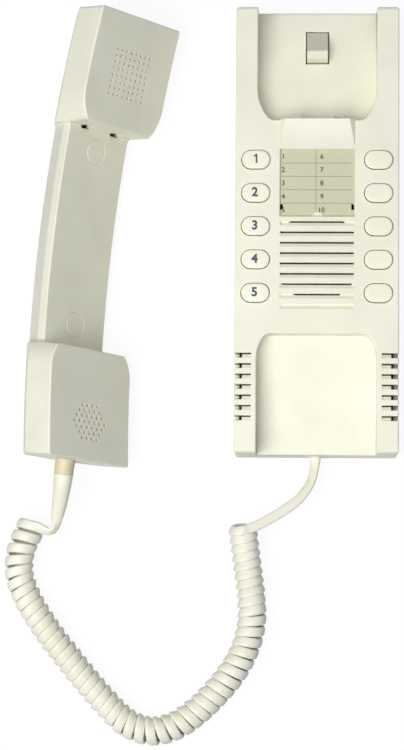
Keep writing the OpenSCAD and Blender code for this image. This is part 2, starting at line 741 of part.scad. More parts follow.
// Key boards, one behind each column of buttons, and the rubber mats on them
module key_board(side) {
    color(board_green) difference() {
        translate([side * button_x, button_y, key_board_z])
            block(key_board_w, 2 * (key_boss_reach + key_boss_r), key_board_t);
        at_key_bosses(side) translate([0, 0, key_board_z - cut])
            cylinder(h = key_board_t + 2 * cut, r = screw_r + play);
    }
}
module key_board_left() key_board(-1);
module key_board_right() key_board(1);
module key_board_screws() {
    color(steel) for (side = [-1, 1]) at_key_bosses(side)
        translate([0, 0, key_board_z - screw_head_t]) screw(key_board_t + screw_bite / 2);
}
module keypad_mat(side) {
    mat_edge = 2;
    mat_w = key_board_w - mat_edge / 2;
    mat_h = (key_rows - 1) * button_pitch + 2 * (dome_r + mat_edge);
    color(dark_rubber) {
        translate([side * button_x, button_y, mat_top - mat_t]) block(mat_w, mat_h, mat_t);
        for (i = [0 : key_rows - 1]) translate(button_place(i + (side > 0 ? key_rows : 0)))
            translate([0, 0, mat_top]) cylinder(h = dome_h, r1 = dome_r, r2 = stem_r);
    }
}
module keypad_mat_left() keypad_mat(-1);
module keypad_mat_right() keypad_mat(1);

// A button: a cap in its opening, a flange that the cover holds, and a stem down to the mat
module button(i) {
    edge = 0.5;
    cap_z = base_d + button_proud - edge;
    color(white_key) translate(button_place(i)) {
        translate([0, 0, flange_top]) linear_extrude(cap_z - flange_top) stadium(button_w, button_h);
        translate([0, 0, cap_z]) linear_extrude(edge) stadium(button_w - 2 * edge, button_h - 2 * edge);
        translate([0, 0, flange_top - flange_t]) linear_extrude(flange_t) intersection() {
            stadium(button_w + 2 * flange_lap, button_h + 2 * flange_lap);
            square([2 * flange_reach, base_h], center = true);
        }
        translate([0, 0, dome_top]) cylinder(h = flange_top - flange_t - dome_top, r = stem_r);
    }
}

// Loudspeaker behind the grille
module speaker_turned() {
    translate([0, -speaker_y, 0]) rotate_extrude() children();
}
cone_r = speaker_r - surround_w;
module speaker_gasket() {
    color(black_part) speaker_turned() translate([cone_r, speaker_face_z]) square([surround_w, gasket_t]);
}
module speaker_frame() {
    vent_r = 3.5;
    flange_low = speaker_face_z - speaker_flange_t;
    floor_top = speaker_back_z + basket_t;
    color(steel) speaker_turned() polygon([[cone_r, speaker_face_z], [speaker_r, speaker_face_z],
        [speaker_r, flange_low], [cone_r + 2 * basket_t, flange_low], [magnet_r + basket_t, speaker_back_z],
        [vent_r, speaker_back_z], [vent_r, floor_top], [magnet_r, floor_top],
        [cone_r + basket_t, flange_low], [cone_r, flange_low]]);
}
module speaker_cone() {
    rim_z = speaker_face_z - speaker_flange_t / 4;
    neck_z = speaker_back_z + 2.8;
    cap_rise = 1.6;
    color(black_part) speaker_turned() polygon([[cone_r, rim_z], [dust_cap_r, neck_z], [0, neck_z + cap_rise],
        [0, neck_z + cap_rise - cone_t], [dust_cap_r, neck_z - cone_t], [cone_r, rim_z - cone_t]]);
}
module speaker_magnet() {
    color(dark_rubber) speaker_turned()
        translate([0, speaker_back_z - magnet_t]) square([magnet_r, magnet_t]);
}
module speaker_screws() {
    color(steel) at_speaker_posts() translate([0, 0, speaker_face_z - speaker_flange_t - screw_head_t])
        screw(wall);
}

// Directory card under its clear window
module card_plan() {
    translate([0, card_y]) difference() {
        square([card_w, card_h], center = true);
        translate([0, -card_h / 2 - thumb_drop]) circle(thumb_r);
        for (s = [-1, 1]) translate([s * card_w / 2, notch_up - card_h / 2])
            square([2 * notch_w, notch_h], center = true);
    }
}
module directory_card() {
    color(card_tint) translate([0, 0, card_bed_z]) linear_extrude(card_t) card_plan();
}
module directory_window() {
    color([0.85, 0.88, 0.8, 0.4])
        translate([0, 0, card_bed_z + card_t]) linear_extrude(window_t) card_plan();
}

// Hook lever with its pin, bracket, spring and switch
module hook_lever() {
    tip_z = floor_z(hook_tip_y - ear_edge_y);
    color(ivory_shade) difference() {
        rotate([90, 0, 90]) linear_extrude(hook_w, center = true) {
            translate([hook_pivot_y, hook_pivot_z]) circle(hook_hub_r);
            polygon([[hook_pivot_y, hook_low(hook_pivot_y)], [hook_y, hook_arm_low],
                [hook_tip_y, hook_arm_low], [hook_tip_y, tip_z], [hook_ridge_y, hook_ridge_z],
                [hook_y + hook_nose, hook_ridge_z - hook_nose], [hook_y, hook_ridge_z - 3 * hook_nose],
                [hook_y, hook_arm_top], [hook_pivot_y, hook_pivot_z + hook_hub_r]]);
        }
        translate([0, hook_pivot_y, hook_pivot_z]) rotate([0, 90, 0])
            cylinder(h = hook_w + 2 * cut, r = hook_pin_r + pin_clear, center = true);
    }
}
cheek_x = hook_w / 2 + cheek_gap;
module hook_bracket() {
    color(black_part) difference() {
        union() {
            for (s = [-1, 1]) translate([s * (cheek_x + cheek_t / 2), hook_pivot_y, board_top])
                block(cheek_t, cheek_w, cheek_h);
            translate([0, hook_pivot_y, board_top]) block(2 * cheek_x + cheek_t, cheek_w, bracket_foot_t);
        }
        translate([0, hook_pivot_y, hook_pivot_z]) rotate([0, 90, 0])
            cylinder(h = 2 * (cheek_x + cheek_t + cut), r = hook_pin_r, center = true);
    }
}
module hook_pin() {
    color(steel) translate([0, hook_pivot_y, hook_pivot_z]) rotate([0, 90, 0])
        cylinder(h = 2 * (cheek_x + cheek_t), r = hook_pin_r, center = true);
}
module hook_spring() {
    spring_r = 2.5;
    spring_wire = 0.6;
    spring_past = 15;
    spring_y = hook_pivot_y + spring_past;
    spring_top = hook_low(spring_y - spring_r) - play;
    color(steel) translate([0, spring_y, board_top]) rotate_extrude()
        translate([spring_r - spring_wire, 0]) square([spring_wire, spring_top - board_top]);
}
module hook_switch() {
    body = [8, 5, 1.8];
    plunger = [3, 2, 0.4];
    switch_past = 9;
    switch_y = hook_pivot_y + switch_past;
    color(black_part) translate([0, switch_y, board_top]) {
        block(body[0], body[1], body[2]);
        translate([0, 0, body[2]]) block(plunger[0], plunger[1], plunger[2]);
    }
}

// Cord gland, the socket on the board and the cord between them
module cord_gland() {
    lip = 0.3;
    flange_in = -wall - gland_flange_t;
    color(ivory_shade) translate([0, -base_h / 2, gland_z]) rotate([90, 0, 0]) rotate_extrude()
        polygon([[0, flange_in], [gland_flange_r, flange_in], [gland_flange_r, -wall], [gland_r, -wall],
            [gland_r, gland_collar - lip], [gland_r - lip, gland_collar], [0, gland_collar]]);
}
socket_y = 56;
socket_h = 8;
socket_depth = 10;
module cord_socket() {
    socket_w = 12;
    color(white_key) translate([0, -socket_y, board_top]) block(socket_w, socket_depth, socket_h);
}
module cord_lead_in() {
    lead_end = [0, -socket_y - socket_depth / 2, board_top + socket_h / 2];
    lead_start = [0, wall + gland_flange_t - base_h / 2, gland_z];
    straight = [0, 8, 0];
    path = [lead_start, lead_start + straight, (lead_start + lead_end) / 2, lead_end - straight, lead_end];
    color(cord_ivory) cord_run(path, cord_d, [0, 1, 0], [0, 1, 0]);
}

// The curly cord: a tail at each end and the curls between, all lying on the table
module cord_tail_base() {
    exit = [0, -base_h / 2 - gland_collar, gland_z];
    path = concat([exit], tail_base_route, [coil_base_end]);
    color(cord_ivory) cord_run(path, cord_d, [0, -1, 0], -base_lead);
}
module cord_coil() {
    color(cord_ivory) tube(coil_points, coil_normals, [for (p = coil_points) cord_d / 2], coil_sides,
        -base_lead, handset_lead);
}
module cord_tail_handset() {
    start = boot_route[len(boot_route) - 1];
    lead = coil_handset_end + cord_d * handset_lead;
    path = concat([start], tail_handset_route, [lead, coil_handset_end]);
    color(cord_ivory) cord_run(path, cord_d, unit(start - boot_route[len(boot_route) - 2]), -handset_lead);
}

// Handset: everything is made lying on its back round the arc's axis, then set on the table
module set_down() {
    translate([handset_x, handset_y, handset_z]) rotate([0, 0, handset_yaw]) rotate([0, handset_roll, 0])
        children();
}
module arc_sweep(s0, s1) {
    translate([0, 0, arc_r]) rotate([0, 90, 0]) rotate([0, 0, arc_deg(s0)])
        rotate_extrude(angle = arc_deg(s1 - s0)) children();
}
module arc_at(s, h) {
    translate([0, 0, arc_r]) rotate([arc_deg(s), 0, 0]) translate([0, 0, h - arc_r]) children();
}
module arc_block(half_w, h0, h1, s0, s1) {
    arc_sweep(s0, s1) translate([arc_r - h1, -half_w]) square([h1 - h0, 2 * half_w]);
}
module ear_prism(inset) {
    translate([0, ear_inner + inset, -cut]) linear_extrude(2 * head_h)
        head_plan(head_w / 2 - inset, ear_corner_in, ear_corner_len, ear_end - ear_inner - 2 * inset);
}
module mouth_prism(inset) {
    length = handset_len / 2 - mouth_inner - 2 * inset;
    rotate([0, 0, 180]) translate([0, mouth_inner + inset, -cut]) linear_extrude(2 * head_h)
        head_plan(head_w / 2 - inset, mouth_corner_in, mouth_corner_len, length);
}
sweep_past = 10;
sweep_s = handset_len / 2 + sweep_past;
grip_s = max(ear_inner, mouth_inner) + ear_corner_len / 2;
// Fillets between the grip's sides and the heads: each is a circle that just cuts both of them
ear_fillet_r = 5.5;
mouth_fillet_r = 2.4;
fillet_past = 0.05;
ear_arc_r = corner_radius(ear_corner_in, ear_corner_len);
ear_arc = [head_w / 2 + corner_past - ear_arc_r, ear_inner + ear_corner_len];
ear_fillet_x = grip_w / 2 + ear_fillet_r - fillet_past;
ear_fillet_drop = sqrt(pow(ear_arc_r + ear_fillet_r - fillet_past, 2) - pow(ear_fillet_x - ear_arc[0], 2));
ear_touch_y = ear_arc[1] - ear_fillet_drop * ear_arc_r / (ear_arc_r + ear_fillet_r);
mouth_fillet = [grip_w / 2 + mouth_fillet_r - fillet_past, mouth_inner - mouth_fillet_r + fillet_past];
module fillet_prism(centre, r, far_y) {
    translate([0, 0, -cut]) linear_extrude(2 * head_h) difference() {
        translate([0, centre[1]]) square([centre[0], far_y - centre[1]]);
        translate(centre) circle(r);
    }
}
module grip_fillets() {
    for (m = [0, 1]) mirror([m, 0, 0]) {
        fillet_prism([ear_fillet_x, ear_arc[1] - ear_fillet_drop], ear_fillet_r, ear_touch_y);
        mirror([0, 1, 0]) fillet_prism(mouth_fillet, mouth_fillet_r, mouth_inner + shell / 2);
    }
}
module front_form(inset, low_h) {
    arc_block(grip_w / 2 - inset, low_h, grip_h - inset, -grip_s, grip_s);
    if (inset == 0) intersection() {
        arc_block(head_w / 2, low_h, grip_h, -grip_s, grip_s);
        grip_fillets();
    }
    intersection() {
        arc_block(head_w / 2 - inset, low_h, head_h - inset, -sweep_s, sweep_s);
        union() {
            ear_prism(inset);
            mouth_prism(inset);
        }
    }
}
// Half width of a bevelled back at a height, drawn in by the wall
function bevel_half(back_w, full_w, top_h, h, inset) = let (run = (full_w - back_w) / 2)
    back_w / 2 + run * h / top_h - inset * sqrt(run * run + top_h * top_h) / top_h;
module back_form(inset, high_h) {
    function grip_half(h) = h > crease_h ? grip_w / 2 - inset :
        bevel_half(grip_back_w, grip_w, crease_h, h, inset);
    arc_sweep(-grip_s, grip_s) polygon([for (s = [-1, 1])
        each [for (h = s < 0 ? [inset, crease_h, high_h] : [high_h, crease_h, inset])
            [arc_r - h, s * grip_half(h)]]]);
    intersection() {
        arc_sweep(-sweep_s, sweep_s) polygon([for (s = [-1, 1])
            each [for (h = s < 0 ? [inset, high_h] : [high_h, inset])
                [arc_r - h, s * bevel_half(head_back_w, head_w, parting_h, h, inset)]]]);
        union() {
            ear_prism(inset);
            mouth_prism(inset);
        }
    }
}
module at_plugs() {
    for (s = [-1, 1]) arc_at(s * plug_s, 0) children();
}
module sound_hole() {
    cylinder(h = shell + 2 * cut, r = sound_hole_r, $fn = 6);
}
module ear_hole_field() {
    for (i = [0 : ear_holes - 1], j = [0 : ear_holes - 1])
        arc_at(ear_s + (j - (ear_holes - 1) / 2) * ear_hole_pitch, face_inner_h - cut)
            translate([(i - (ear_holes - 1) / 2) * ear_hole_pitch, 0, 0]) sound_hole();
}
module mouth_hole_field() {
    reach = floor(mouth_field_r / mouth_hole_pitch);
    for (i = [-reach - 0.5 : reach + 0.5], j = [-reach - 0.5 : reach + 0.5])
        if (norm([i, j]) * mouth_hole_pitch <= mouth_field_r)
            arc_at(j * mouth_hole_pitch - mouth_s, face_inner_h - cut)
                translate([i * mouth_hole_pitch, 0, 0]) sound_hole();
}
module boot_hole() {
    translate([0, -handset_len / 2 + shell + cut, rise_at(handset_len / 2, parting_h)]) rotate([90, 0, 0])
        cylinder(h = shell + 2 * cut, r = boot_r0);
}
pocket_w = tab_w + 2 * pocket_play;
pocket_low = rise_at(ear_inner, grip_h) - shell - pocket_play;
module handset_front_shell() {
    color(ivory) set_down() difference() {
        union() {
            difference() {
                front_form(0, parting_h);
                front_form(shell, parting_h - cut);
            }
            at_plugs() translate([0, 0, boss_split_h])
                cylinder(h = grip_h - shell / 2 - boss_split_h, r = boss_r);
        }
        at_plugs() {
            translate([0, 0, grip_h - plug_t]) cylinder(h = plug_t + cut, r = plug_r);
            translate([0, 0, head_seat_h]) cylinder(h = grip_h, r = screw_head_r + play);
            cylinder(h = grip_h, r = screw_r + play);
        }
        ear_hole_field();
        mouth_hole_field();
        for (s = [-1, 1]) translate([s * tab_x - pocket_w / 2, ear_inner - pocket_lip, pocket_low])
            cube([pocket_w, pocket_lip + tab_reach + pocket_play, shell + pocket_h + 2 * pocket_play]);
        boot_hole();
    }
}
module handset_back_shell() {
    color(ivory) set_down() difference() {
        union() {
            difference() {
                back_form(0, parting_h);
                back_form(shell, parting_h + cut);
            }
            at_plugs() translate([0, 0, shell / 2]) cylinder(h = boss_split_h - shell / 2, r = boss_r);
        }
        at_plugs() translate([0, 0, shell]) cylinder(h = grip_h, r = screw_r);
        boot_hole();
    }
}
module handset_screws() {
    color(steel) set_down() at_plugs() translate([0, 0, head_seat_h + screw_head_t]) rotate([180, 0, 0])
        screw(head_seat_h - screw_tip_h);
}
module screw_plugs() {
    color(ivory) set_down() at_plugs() translate([0, 0, grip_h - plug_t])
        cylinder(h = plug_t, r = plug_r - play / 2);
}
// Inside the handset: capsules, ballast and loom
module receiver_gasket() {
    color(black_part) set_down() arc_at(ear_s, face_inner_h - capsule_gasket_t) difference() {
        cylinder(h = capsule_gasket_t, r = capsule_r);
        translate([0, 0, -cut]) cylinder(h = capsule_gasket_t + 2 * cut, r = capsule_r - capsule_rim);
    }
}
module receiver_capsule() {
    color(black_part) set_down() arc_at(ear_s, face_inner_h - capsule_gasket_t - capsule_t) {
        cylinder(h = capsule_t / 2, r = capsule_r - capsule_rim);
        translate([0, 0, capsule_t / 2]) cylinder(h = capsule_t / 2, r = capsule_r);
    }
}
module receiver_clamp() {
    clamp_h = face_inner_h - capsule_gasket_t - capsule_t / 2 - clamp_t;
    color(ivory_shade) set_down() arc_at(ear_s, clamp_h) difference() {
        cylinder(h = clamp_t, r = capsule_r + capsule_rim);
        translate([0, 0, -cut]) cylinder(h = clamp_t + 2 * cut, r = capsule_r - capsule_rim + play);
    }
}
module microphone_holder() {
    color(dark_rubber) set_down() arc_at(-mouth_s, face_inner_h - mic_cup_t) difference() {
        cylinder(h = mic_cup_t, r = mic_cup_r);
        translate([0, 0, mic_cup_t - mic_t]) cylinder(h = mic_t + cut, r = mic_r);
    }
}
module microphone_capsule() {
    color(steel) set_down() arc_at(-mouth_s, face_inner_h - mic_t) cylinder(h = mic_t - play, r = mic_r);
}
module handset_weight() {
    weight_w = 18;
    weight_x = -3;
    weight_h = 6;
    weight_s = 34;
    color(steel) set_down() arc_sweep(-weight_s, weight_s)
        translate([arc_r - shell - weight_h, weight_x - weight_w / 2]) square([weight_h, weight_w]);
}
// Loom from the boot along the grip to the receiver: across, along and above the back
loom_route = [[0, -103, 13.4], [0, -98, 10], [4, -74, 6], [11, -54, 6], [11, 0, 6], [11, 54, 6], [5, 70, 8],
    [0, 81, 10]];
module handset_loom() {
    loom_d = 3;
    capsule_back_h = face_inner_h - capsule_gasket_t - capsule_t;
    start = [0, shell - handset_len / 2, rise_at(handset_len / 2, parting_h)];
    run = [for (p = loom_route) arc_point(p[0], p[1], p[2])];
    end = arc_point(0, ear_s, capsule_back_h);
    local = concat([start], run, [end]);
    path = [for (p = local) handset_point(p)];
    normal = handset_direction([1, 0, 0]);
    into_capsule = handset_direction(unit(end - arc_point(0, ear_s, 0)));
    color(dark_rubber) tube(path, [for (p = path) normal], [for (p = path) loom_d / 2], tail_sides,
        handset_direction([0, 1, 0]), into_capsule);
}
// Boot: a tapered rubber sleeve out of the lower end, which eases the cord down to the table
module handset_boot() {
    inner = handset_point([0, shell - handset_len / 2, rise_at(handset_len / 2, parting_h)]);
    away = handset_direction([0, -1, 0]);
    path = concat([inner, boot_exit], boot_route);
    taper = [for (i = [0 : len(path) - 1])
        boot_r0 + (boot_r1 - boot_r0) * max(i - 1, 0) / (len(path) - 2)];
    color(ivory_shade) tube(path, [for (p = path) [0, 0, 1]], taper, tail_sides + 2, away,
        unit(path[len(path) - 1] - path[len(path) - 2]));
}

front_cover();
back_plate();
cover_screws();
main_board();
board_screws();
terminal_block();
terminal_screws();
transformer();
capacitors();
audio_chips();
key_board_left();
key_board_right();
key_board_screws();
keypad_mat_left();
keypad_mat_right();
speaker_gasket();
speaker_frame();
speaker_cone();
speaker_magnet();
speaker_screws();
directory_card();
directory_window();
hook_lever();
hook_bracket();
hook_pin();
hook_spring();
hook_switch();
cord_gland();
cord_socket();
cord_lead_in();
cord_tail_base();
cord_coil();
cord_tail_handset();
for (i = [0 : len(BUTTONS) - 1]) button(i);
handset_front_shell();
handset_back_shell();
receiver_capsule();
receiver_gasket();
receiver_clamp();
microphone_capsule();
microphone_holder();
handset_weight();
handset_screws();
screw_plugs();
handset_boot();
handset_loom();
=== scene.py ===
# A wall intercom station lying on a pale table: a base with a cradle, call buttons, a directory and a
# loudspeaker grille, its handset laid beside it, and the curly cord that joins the two.
import math

import bmesh
import bpy
import numpy as np
from mathutils import Euler, Matrix, Vector


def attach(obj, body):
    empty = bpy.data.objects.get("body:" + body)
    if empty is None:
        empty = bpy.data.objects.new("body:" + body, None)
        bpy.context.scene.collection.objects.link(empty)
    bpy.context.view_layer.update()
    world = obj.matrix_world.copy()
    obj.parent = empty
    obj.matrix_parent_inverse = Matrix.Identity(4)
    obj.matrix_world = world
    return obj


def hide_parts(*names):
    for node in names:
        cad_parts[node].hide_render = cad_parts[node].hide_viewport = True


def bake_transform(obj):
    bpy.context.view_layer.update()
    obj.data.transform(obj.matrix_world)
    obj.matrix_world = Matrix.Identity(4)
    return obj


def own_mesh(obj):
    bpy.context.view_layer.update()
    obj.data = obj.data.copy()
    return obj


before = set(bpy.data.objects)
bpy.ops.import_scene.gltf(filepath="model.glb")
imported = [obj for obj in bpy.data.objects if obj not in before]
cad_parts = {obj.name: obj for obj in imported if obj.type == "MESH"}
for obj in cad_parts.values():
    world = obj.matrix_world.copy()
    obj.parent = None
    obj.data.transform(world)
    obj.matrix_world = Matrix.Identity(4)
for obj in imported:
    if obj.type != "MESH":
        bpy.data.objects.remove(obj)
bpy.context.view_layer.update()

# Camera: a long lens about 1.4 m above the table, looking almost straight down and a little up the
# base. Its place and tilt were fitted to edges of the base and handset in an image of 404 by 750.
image_height = 750
focal_pixels = 2820.3
sensor_mm = 36
camera = bpy.data.objects.new("camera", bpy.data.cameras.new("camera"))
bpy.context.scene.collection.objects.link(camera)
camera.data.sensor_width = sensor_mm
camera.data.lens = focal_pixels / image_height * sensor_mm
camera.location = (-0.00802, -0.20206, 1.39973)
camera.rotation_euler = Euler((0.0951, 0.0341, 0.0079))
bpy.context.scene.camera = camera
bpy.context.scene.view_settings.view_transform = "Standard"


# Studio: a matt white table, a broad lamp at the lower left, a weaker one at the upper right and a
# cool even sky. The table shows white to the camera and in reflections, and keeps a faint shadow.
def linear(hex_colour):
    """An sRGB hex colour as linear red, green, blue and alpha."""
    parts = [int(hex_colour[i:i + 2], 16) / 255 for i in (1, 3, 5)]
    return [c / 12.92 if c <= 0.04045 else ((c + 0.055) / 1.055) ** 2.4 for c in parts] + [1]


def add_node(tree, kind, sockets=None, **settings):
    """Adds a node: settings are its own options, and a socket takes a value or another node's output."""
    node = tree.nodes.new(kind)
    for name, value in settings.items():
        setattr(node, name, value)
    for name, value in (sockets or {}).items():
        if isinstance(value, bpy.types.NodeSocket):
            tree.links.new(value, node.inputs[name])
        else:
            node.inputs[name].default_value = value
    return node


def empty_material(name):
    """A material with nothing in its tree."""
    material = bpy.data.materials.new(name)
    material.use_nodes = True
    material.node_tree.nodes.clear()
    return material


def seen_rays(tree):
    """One where a ray comes from the camera, a reflection or a clear piece, and nought elsewhere."""
    path = add_node(tree, "ShaderNodeLightPath")
    first = add_node(tree, "ShaderNodeMath", {0: path.outputs["Is Camera Ray"],
                                              1: path.outputs["Is Glossy Ray"]}, operation="MAXIMUM")
    both = add_node(tree, "ShaderNodeMath", {0: first.outputs[0],
                                             1: path.outputs["Is Transmission Ray"]}, operation="MAXIMUM")
    return both.outputs[0]


table_half = 2.0
table_drop = 0.0001
table_white = empty_material("matt_white_table")
tree = table_white.node_tree
lit = add_node(tree, "ShaderNodeBsdfDiffuse", {"Color": linear("#808080")})
shade = add_node(tree, "ShaderNodeBsdfDiffuse", {"Color": linear("#5e5e5e")})
glow = add_node(tree, "ShaderNodeEmission", {"Color": linear("#ffffff"), "Strength": 0.91})
shown = add_node(tree, "ShaderNodeAddShader", {0: shade.outputs[0], 1: glow.outputs[0]})
mixed = add_node(tree, "ShaderNodeMixShader", {0: seen_rays(tree), 1: lit.outputs[0], 2: shown.outputs[0]})
add_node(tree, "ShaderNodeOutputMaterial", {"Surface": mixed.outputs[0]})
table_mesh = bpy.data.meshes.new("table")
table_corners = [(-1, -1), (1, -1), (1, 1), (-1, 1)]
table_points = [(x * table_half, y * table_half, -table_drop) for x, y in table_corners]
table_mesh.from_pydata(table_points, [], [range(len(table_corners))])
table_mesh.materials.append(table_white)
table = bpy.data.objects.new("table", table_mesh)
bpy.context.scene.collection.objects.link(table)

sky = bpy.data.worlds.new("cool_sky")
sky.use_nodes = True
sky.node_tree.nodes.clear()
fill = add_node(sky.node_tree, "ShaderNodeBackground", {"Color": linear("#cddbff"), "Strength": 0.24})
plain = add_node(sky.node_tree, "ShaderNodeBackground", {"Color": linear("#ffffff"), "Strength": 1})
mixed = add_node(sky.node_tree, "ShaderNodeMixShader", {0: seen_rays(sky.node_tree), 1: fill.outputs[0],
                                                        2: plain.outputs[0]})
add_node(sky.node_tree, "ShaderNodeOutputWorld", {"Surface": mixed.outputs[0]})
bpy.context.scene.world = sky

lamp_aim = Vector((-0.05, -0.05, 0))
# Each lamp's name, width in metres, power in watts, tint and place
lamps = (("broad_lamp", 1.0, 13.6, "#fffdf8", (-0.43, -0.42, 1.08)),
         ("far_lamp", 0.8, 1.6, "#fff6e8", (0.35, 0.62, 0.9)))
for name, size, energy, tint, place in lamps:
    lamp = bpy.data.objects.new(name, bpy.data.lights.new(name, "AREA"))
    lamp.data.shape = "DISK"
    lamp.data.size = size
    lamp.data.energy = energy
    lamp.data.color = linear(tint)[:3]
    lamp.location = place
    lamp.rotation_euler = (lamp_aim - lamp.location).to_track_quat("-Z", "Y").to_euler()
    bpy.context.scene.collection.objects.link(lamp)


# Curly cord: a flat cord in soft PVC, wound hot on a rod so that it keeps its curls. It leaves the
# base's lower end, lies in a slack bend on the table and climbs into the boot of the handset.
def smooth(points, steps):
    """A smooth curve through given points."""
    p = np.array(points, float)
    ends = np.vstack([p[:1], p, p[-1:]])
    t = np.arange(steps)[:, None] / steps
    spans = []
    for a, b, c, d in zip(ends, ends[1:], ends[2:], ends[3:]):
        bend = a - 2.5 * b + 2 * c - d / 2
        swing = (3 * b - a - 3 * c + d) / 2
        spans.append(b + t * (c - a) / 2 + t ** 2 * bend + t ** 3 * swing)
    return np.vstack(spans + [p[-1:]])


def unit(v):
    """Vectors of length one, row by row."""
    return v / np.linalg.norm(v, axis=-1, keepdims=True)


def slopes(path):
    """The directions along a path."""
    return unit(np.vstack([path[1] - path[0], path[2:] - path[:-2], path[-1] - path[-2]]))


def distances(path):
    """How far each point lies along a path."""
    return np.concatenate([[0], np.cumsum(np.linalg.norm(np.diff(path, axis=0), axis=1))])


def new_piece(name, vertices, faces, *materials):
    """A smooth-shaded mesh in the scene."""
    mesh = bpy.data.meshes.new(name)
    mesh.from_pydata([tuple(v) for v in vertices], [], faces)
    for material in materials:
        mesh.materials.append(material)
    mesh.shade_smooth()
    piece = bpy.data.objects.new(name, mesh)
    bpy.context.scene.collection.objects.link(piece)
    return piece


def ring_faces(count, sides):
    """Faces of a closed skin through rings of equally many points."""
    steps = [(i * sides, k, (k + 1) % sides) for i in range(count - 1) for k in range(sides)]
    faces = [(low + a, low + b, low + sides + b, low + sides + a) for low, a, b in steps]
    last = (count - 1) * sides
    return faces + [tuple(reversed(range(sides))), tuple(range(last, last + sides))]


def swept(path, normals, half_w, half_t, squareness, sides):
    """Rings of a rounded band along a path, and their faces: its flat side looks along the normals."""
    count = len(path)
    along = slopes(path)
    up = unit(normals - along * np.sum(normals * along, axis=1, keepdims=True))
    across = np.cross(up, along)
    angle = (np.arange(sides) + 0.5) / sides * 2 * math.pi
    half_w, half_t, power = (np.broadcast_to(v, count)[:, None] for v in (half_w, half_t, 2 / squareness))
    side = half_w * np.sign(np.cos(angle)) * np.abs(np.cos(angle)) ** power
    rise = half_t * np.sign(np.sin(angle)) * np.abs(np.sin(angle)) ** power
    rings = path[:, None] + side[:, :, None] * across[:, None] + rise[:, :, None] * up[:, None]
    return rings.reshape(-1, 3), ring_faces(count, sides)


# A pixel covers half a millimetre, so the real grain of 0.1 to 0.3 mm is drawn coarser, to show
mottle_low, mottle_high = 0.32, 0.62
gloss_play = 0.06


def moulded(name, tint, shade_tint, roughness, grain_mm, relief_mm, ior=1.53, mottle_mm=22):
    """Moulded plastic: a faint mottle in the colour, and the fine grain that the mould leaves."""
    material = empty_material(name)
    tree = material.node_tree
    place = add_node(tree, "ShaderNodeTexCoord").outputs["Object"]
    mottle = add_node(tree, "ShaderNodeTexNoise", {"Vector": place, "Scale": 1000 / mottle_mm, "Detail": 3})
    colour = add_node(tree, "ShaderNodeValToRGB", {"Fac": mottle.outputs["Fac"]})
    colour.color_ramp.elements[0].position = mottle_low
    colour.color_ramp.elements[0].color = linear(shade_tint)
    colour.color_ramp.elements[1].position = mottle_high
    colour.color_ramp.elements[1].color = linear(tint)
    grain = add_node(tree, "ShaderNodeTexNoise", {"Vector": place, "Scale": 1000 / grain_mm, "Detail": 2})
    gloss = add_node(tree, "ShaderNodeMapRange", {
        "Value": grain.outputs["Fac"], "To Min": roughness - gloss_play, "To Max": roughness + gloss_play})
    relief = add_node(tree, "ShaderNodeBump", {"Height": grain.outputs["Fac"], "Strength": 0.5,
                                               "Distance": relief_mm / 1000})
    body = add_node(tree, "ShaderNodeBsdfPrincipled", {
        "Base Color": colour.outputs["Color"], "Roughness": gloss.outputs["Result"], "IOR": ior,
        "Normal": relief.outputs["Normal"]})
    add_node(tree, "ShaderNodeOutputMaterial", {"Surface": body.outputs["BSDF"]})
    return material


band_w = 0.0049
band_t = 0.0022
band_square = 2.9
band_sides = 20
curl_d = 0.0144
curl_count = 51
rings_per_curl = 28
cord_clear = 0.0001
strand_gap = 0.00022
end_lift = 0.004
lift_len = 0.04
turn_slant = 0.2
slant_len = 0.06
tail_twist_deg = 34
# Shares of the base's tail: the twist is whole from the first on, fades from the second, ends at the last
twist_whole, twist_fades, twist_gone = 0.1, 0.3, 0.75
most_lean_cos = 0.5
axis_steps = 12
tail_steps = 10
gland_exit = (0, -0.1102, 0.009)
tail_base_route = [(-0.0005, -0.1148, 0.0091), (-0.0014, -0.1192, 0.0093), (-0.0029, -0.1235, 0.0097),
                   (-0.0052, -0.1272, 0.0102), (-0.0085, -0.1312, 0.0108), (-0.0125, -0.1345, 0.0115),
                   (-0.0167, -0.1374, 0.0123), (-0.0208, -0.14, 0.0131), (-0.0249, -0.1424, 0.0139),
                   (-0.0288, -0.1444, 0.0147), (-0.0325, -0.1459, 0.0154)]
coil_route = [(-0.036, -0.1448), (-0.0346, -0.155), (-0.033, -0.167), (-0.0315, -0.179), (-0.0313, -0.1915),
              (-0.0342, -0.204), (-0.0405, -0.216), (-0.0493, -0.2268), (-0.0585, -0.2356),
              (-0.0688, -0.2425), (-0.0807, -0.245), (-0.0925, -0.2408), (-0.1025, -0.2316),
              (-0.1125, -0.2204), (-0.1225, -0.2083), (-0.132, -0.196), (-0.1406, -0.1826),
              (-0.1458, -0.1694), (-0.1453, -0.157), (-0.1402, -0.1448)]
# How far the curls lie apart, at distances along the coil from the base's end, both in mm
pitch_places = [(0, 4.3), (30, 4.5), (45, 5.1), (75, 5.2), (95, 4.8), (115, 5.2), (130, 5.1), (140, 4.6),
                (190, 4.5), (215, 4.8), (228, 5.0), (235, 5.4), (245, 6.1), (254, 5.9)]
# Each place of the handset's tail, with the way that the cord's flat side looks there
tail_handset_route = [((-0.1368, -0.1457, 0.0131), (0, -0.2, 0.98)),
                      ((-0.1334, -0.1473, 0.012), (-0.1, -0.6, 0.8)),
                      ((-0.1305, -0.1478, 0.0118), (0.1, -0.85, 0.5)),
                      ((-0.1284, -0.146, 0.0122), (0.65, -0.5, 0.55)),
                      ((-0.1273, -0.1429, 0.0134), (0.5, 0.1, 0.85)),
                      ((-0.1264, -0.1385, 0.0156), (0.2, 0.4, 0.9))]

# PVC jacket, extruded: smooth and a little waxy, so each curl carries one soft highlight.
cord_pvc = moulded("extruded_ivory_pvc", "#f1f0df", "#ecead6", 0.4, 1.6, 0.012, 1.54)

